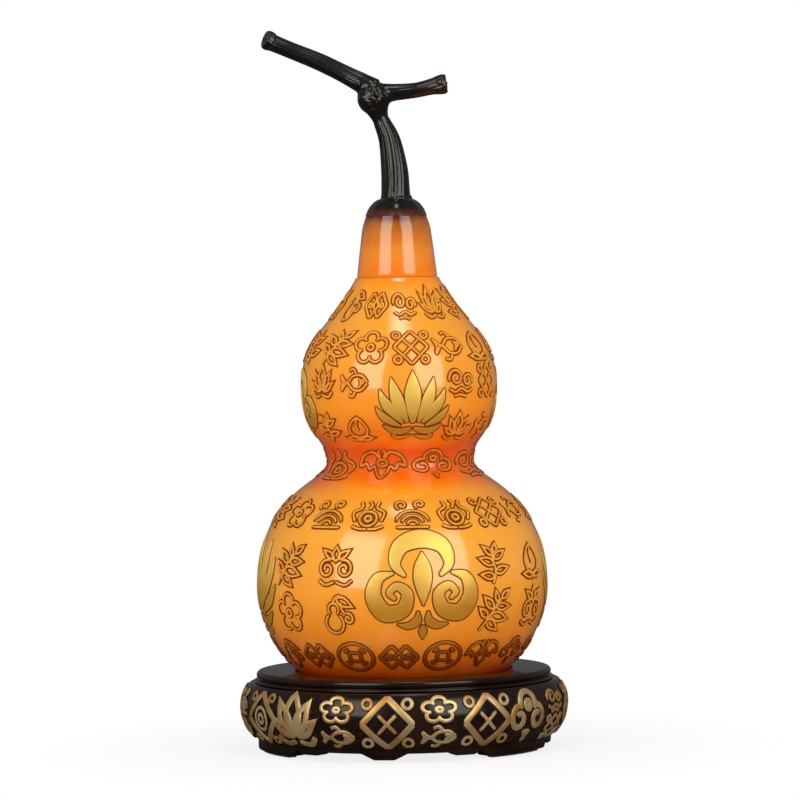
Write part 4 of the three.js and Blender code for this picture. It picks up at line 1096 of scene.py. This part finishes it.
calyx_skin = [*bezier((15.9, 31.4), (14.7, 34.4), (12, 39.2), (8.6, 40), 28), (8.6, 40)]
calyx_outline = [
    (2.3, 38.7), *reversed([(radius, height + 0.1) for radius, height in crown_line[:-4]]), *calyx_skin,
    (2.3, 40), (2.3, 38.7),
]
calyx = turned("calyx_skirt", calyx_outline, 192, SEAM)
skin_radii = [radius for radius, height in calyx_skin]
skin_heights = [height + SEAM for radius, height in calyx_skin]
for vertex in calyx.data.vertices:
    radius = math.hypot(vertex.co.x, vertex.co.y) / MM
    height = vertex.co.z / MM
    if abs(radius - np.interp(height, skin_heights, skin_radii)) < 0.02:
        lobe = math.cos(CALYX_LOBES * math.atan2(vertex.co.x, -vertex.co.y))
        share = (height - skin_heights[0]) / (skin_heights[-1] - skin_heights[0])
        swell = 1 + CALYX_RIB * lobe * math.sin(math.pi * share) / radius
        vertex.co.x *= swell
        vertex.co.y *= swell
smooth(calyx, 50)

stem_lacquer, start = new_material("black_gloss_lacquer")
spot = start.node("TexCoord", output="Object")
streaks = start.specks(spot, 130.0, 4.0, distortion=0.6)
pores = start.specks(spot, 700.0, 2.0)
side = start.node("SeparateXYZ", inputs={"Vector": spot}, output="X")
level = start.node("SeparateXYZ", inputs={"Vector": spot}, output="Z")
black = streaks.rise(0.4, 0.75).tint(paint("050404"), paint("120C0B"))
# The lacquer is tinted red-brown towards +X, over the short arm.
red_brown_towards_plus_x = (side.rise(0.008, 0.03) * 0.7).tint(black, paint("30140F"))
stem_colour = level.rise(0.275, 0.2795).tint(paint("5A1E08"), red_brown_towards_plus_x)
start.finish({
    "Base Color": stem_colour, "Roughness": 0.25 + pores * 0.12, "Specular IOR Level": 0.3,
    "Coat Weight": 0.8, "Coat IOR": 1.62, "Coat Roughness": 0.03})
own(calyx, stem_lacquer, "lid", "stem_lacquer", "calyx")

# Vine stem: a ribbed vine cast in black resin, which forks at a knotted burl into a long and a short arm
# with flared, dished cut ends. A hidden steel pin holds it on the calyx and cap.

STEM_FOOT = 284.8
STEM_VOXEL = 0.3
RIB_POINTS = 240
# Each branch: knots (x, y, z, radius) from the stem's foot
TRUNK = ((0, 0, -3, 8.8), (0, 0, -0.7, 8.5), (-0.1, 0, 1.4, 7.5), (-0.5, 0, 14, 6.9), (-2.7, 0, 29, 5.6),
         (-6.2, 0, 38, 4.5), (-7.6, 0, 41.4, 4.5), (-10, 0, 49, 7.6))
LONG_ARM = ((-10, 0, 55.2, 6.0), (-24, 1.4, 63, 4.7), (-38, 2.6, 70.2, 4.5), (-53, 3.4, 76.6, 4.3),
            (-61.5, 2.8, 80.3, 4.4), (-63.4, 2.4, 81.2, 4.9), (-65.2, 1.9, 82.1, 5.0), (-66.4, 1.5, 82.6, 4.5))
SHORT_ARM = ((-10, 0, 53, 6.3), (0, -0.5, 53.9, 4.5), (11, -1, 54.8, 3.9), (19, -1.9, 56.4, 4.1),
             (23.6, -2.6, 57.3, 4.9), (25.8, -2.9, 57.8, 5.0), (27.1, -3, 58, 4.4))
BURL = (-10.6, 0, 51)
BURL_RADIUS = 8.6
BURL_BLEND = (14, 8)
# Lumps: where they lie, how far they reach, how high they stand
LUMPS = (((-10.5, -6, 54.5), 9, 0.8), ((26, -4, 58), 6, 0.7), ((-65.5, 1.5, 82.5), 4.5, 0.4))
LUMP_SIZE = 4.4


def branch(name, knots, flutes, depth, twist, dished):
    """A fluted branch along a smooth line, its far end dished where it was cut."""
    section_points = []
    for step in range(RIB_POINTS):
        turn = 2 * math.pi * step / RIB_POINTS
        reach = 1 + depth * math.cos(flutes * turn) + depth * math.cos((flutes // 2 + 2) * turn + 1)
        section_points.append((reach * math.cos(turn), reach * math.sin(turn)))
    rib_section = stroke_section("rib_section", section_points)
    curve = bpy.data.curves.new(name, "CURVE")
    curve.dimensions = "3D"
    curve.bevel_mode = "OBJECT"
    curve.bevel_object = rib_section
    curve.use_fill_caps = True
    path = bow(*knots)
    spline = curve.splines.new("POLY")
    spline.points.add(len(path) - 1)
    for step, (point, (x, y, z, radius)) in enumerate(zip(spline.points, path)):
        point.co = (x, y, z, 1)
        point.radius = radius
        point.tilt = math.radians(twist) * step / len(path)
    placed(name, curve)
    bpy.ops.object.convert(target="MESH")
    made = bpy.context.object
    bpy.data.objects.remove(rib_section)
    bpy.ops.object.mode_set(mode="EDIT")
    bpy.ops.mesh.select_all(action="SELECT")
    bpy.ops.mesh.remove_doubles(threshold=1e-4)
    bpy.ops.mesh.normals_make_consistent(inside=False)
    bpy.ops.mesh.select_mode(type="FACE")
    bpy.ops.mesh.select_all(action="DESELECT")
    bpy.ops.object.mode_set(mode="OBJECT")
    if dished:
        end = Vector(knots[-1][:3])
        cut_face = min(made.data.polygons, key=lambda face: (face.center - end).length)
        cut_face.select = True
        bpy.ops.object.mode_set(mode="EDIT")
        bpy.ops.mesh.inset(thickness=0.7, depth=-0.2, use_even_offset=False)
        bpy.ops.mesh.inset(thickness=0.7, depth=-0.8, use_even_offset=False)
        bpy.ops.object.mode_set(mode="OBJECT")
    return made


trunk = branch("trunk", TRUNK, 29, 0.011, 35, False)
long_arm = branch("long_arm", LONG_ARM, 21, 0.02, 25, True)
short_arm = branch("short_arm", SHORT_ARM, 17, 0.02, -30, True)
bpy.ops.object.select_all(action="DESELECT")
bpy.ops.mesh.primitive_ico_sphere_add(subdivisions=5, radius=BURL_RADIUS, location=BURL)
burl = bpy.context.object
bpy.ops.object.transform_apply(location=True, rotation=True, scale=True)
pick(trunk, long_arm, short_arm, burl)
bpy.ops.object.join()
stem = bpy.context.object
stem.name = "vine"
merged = stem.modifiers.new("one_skin", "REMESH")
merged.mode = "VOXEL"
merged.voxel_size = STEM_VOXEL
bpy.ops.object.modifier_apply(modifier=merged.name)
near_burl = stem.vertex_groups.new(name="near_burl")
for vertex in stem.data.vertices:
    share = np.interp((vertex.co - Vector(BURL)).length, BURL_BLEND[::-1], (1, 0))
    if share > 0:
        near_burl.add([vertex.index], share, "REPLACE")
for group, factor, rounds in (("near_burl", 0.7, 90), ("", 0.4, 1)):
    eased = stem.modifiers.new("eased", "SMOOTH")
    eased.factor = factor
    eased.iterations = rounds
    eased.vertex_group = group
    bpy.ops.object.modifier_apply(modifier=eased.name)
stem.vertex_groups.clear()
for spot, reach, tall in LUMPS:
    for vertex in stem.data.vertices:
        closeness = 1 - (vertex.co - Vector(spot)).length / reach
        if closeness > 0:
            nearest, second = noise.voronoi(vertex.co / LUMP_SIZE)[0][:2]
            crease = min(1, (second - nearest) / 0.5)
            swelling = crease * crease * (3 - 2 * crease) - 0.5
            vertex.co += vertex.normal * tall * min(1, 2 * closeness) * swelling
bpy.ops.object.mode_set(mode="EDIT")
bpy.ops.mesh.select_all(action="SELECT")
bpy.ops.mesh.bisect(plane_co=(0, 0, -1), plane_no=(0, 0, 1), use_fill=True, clear_inner=True)
bpy.ops.object.mode_set(mode="OBJECT")
for vertex in stem.data.vertices:
    vertex.co = (vertex.co.x * MM, vertex.co.y * MM, (vertex.co.z + STEM_FOOT) * MM)
smooth(stem, 60)
own(stem, stem_lacquer, "lid", "stem_lacquer", "vine_stem")
dress("stem_pin", zinc)

for section in (carved_section, fine_section, inner_section, relief_section):
    bpy.data.objects.remove(section)
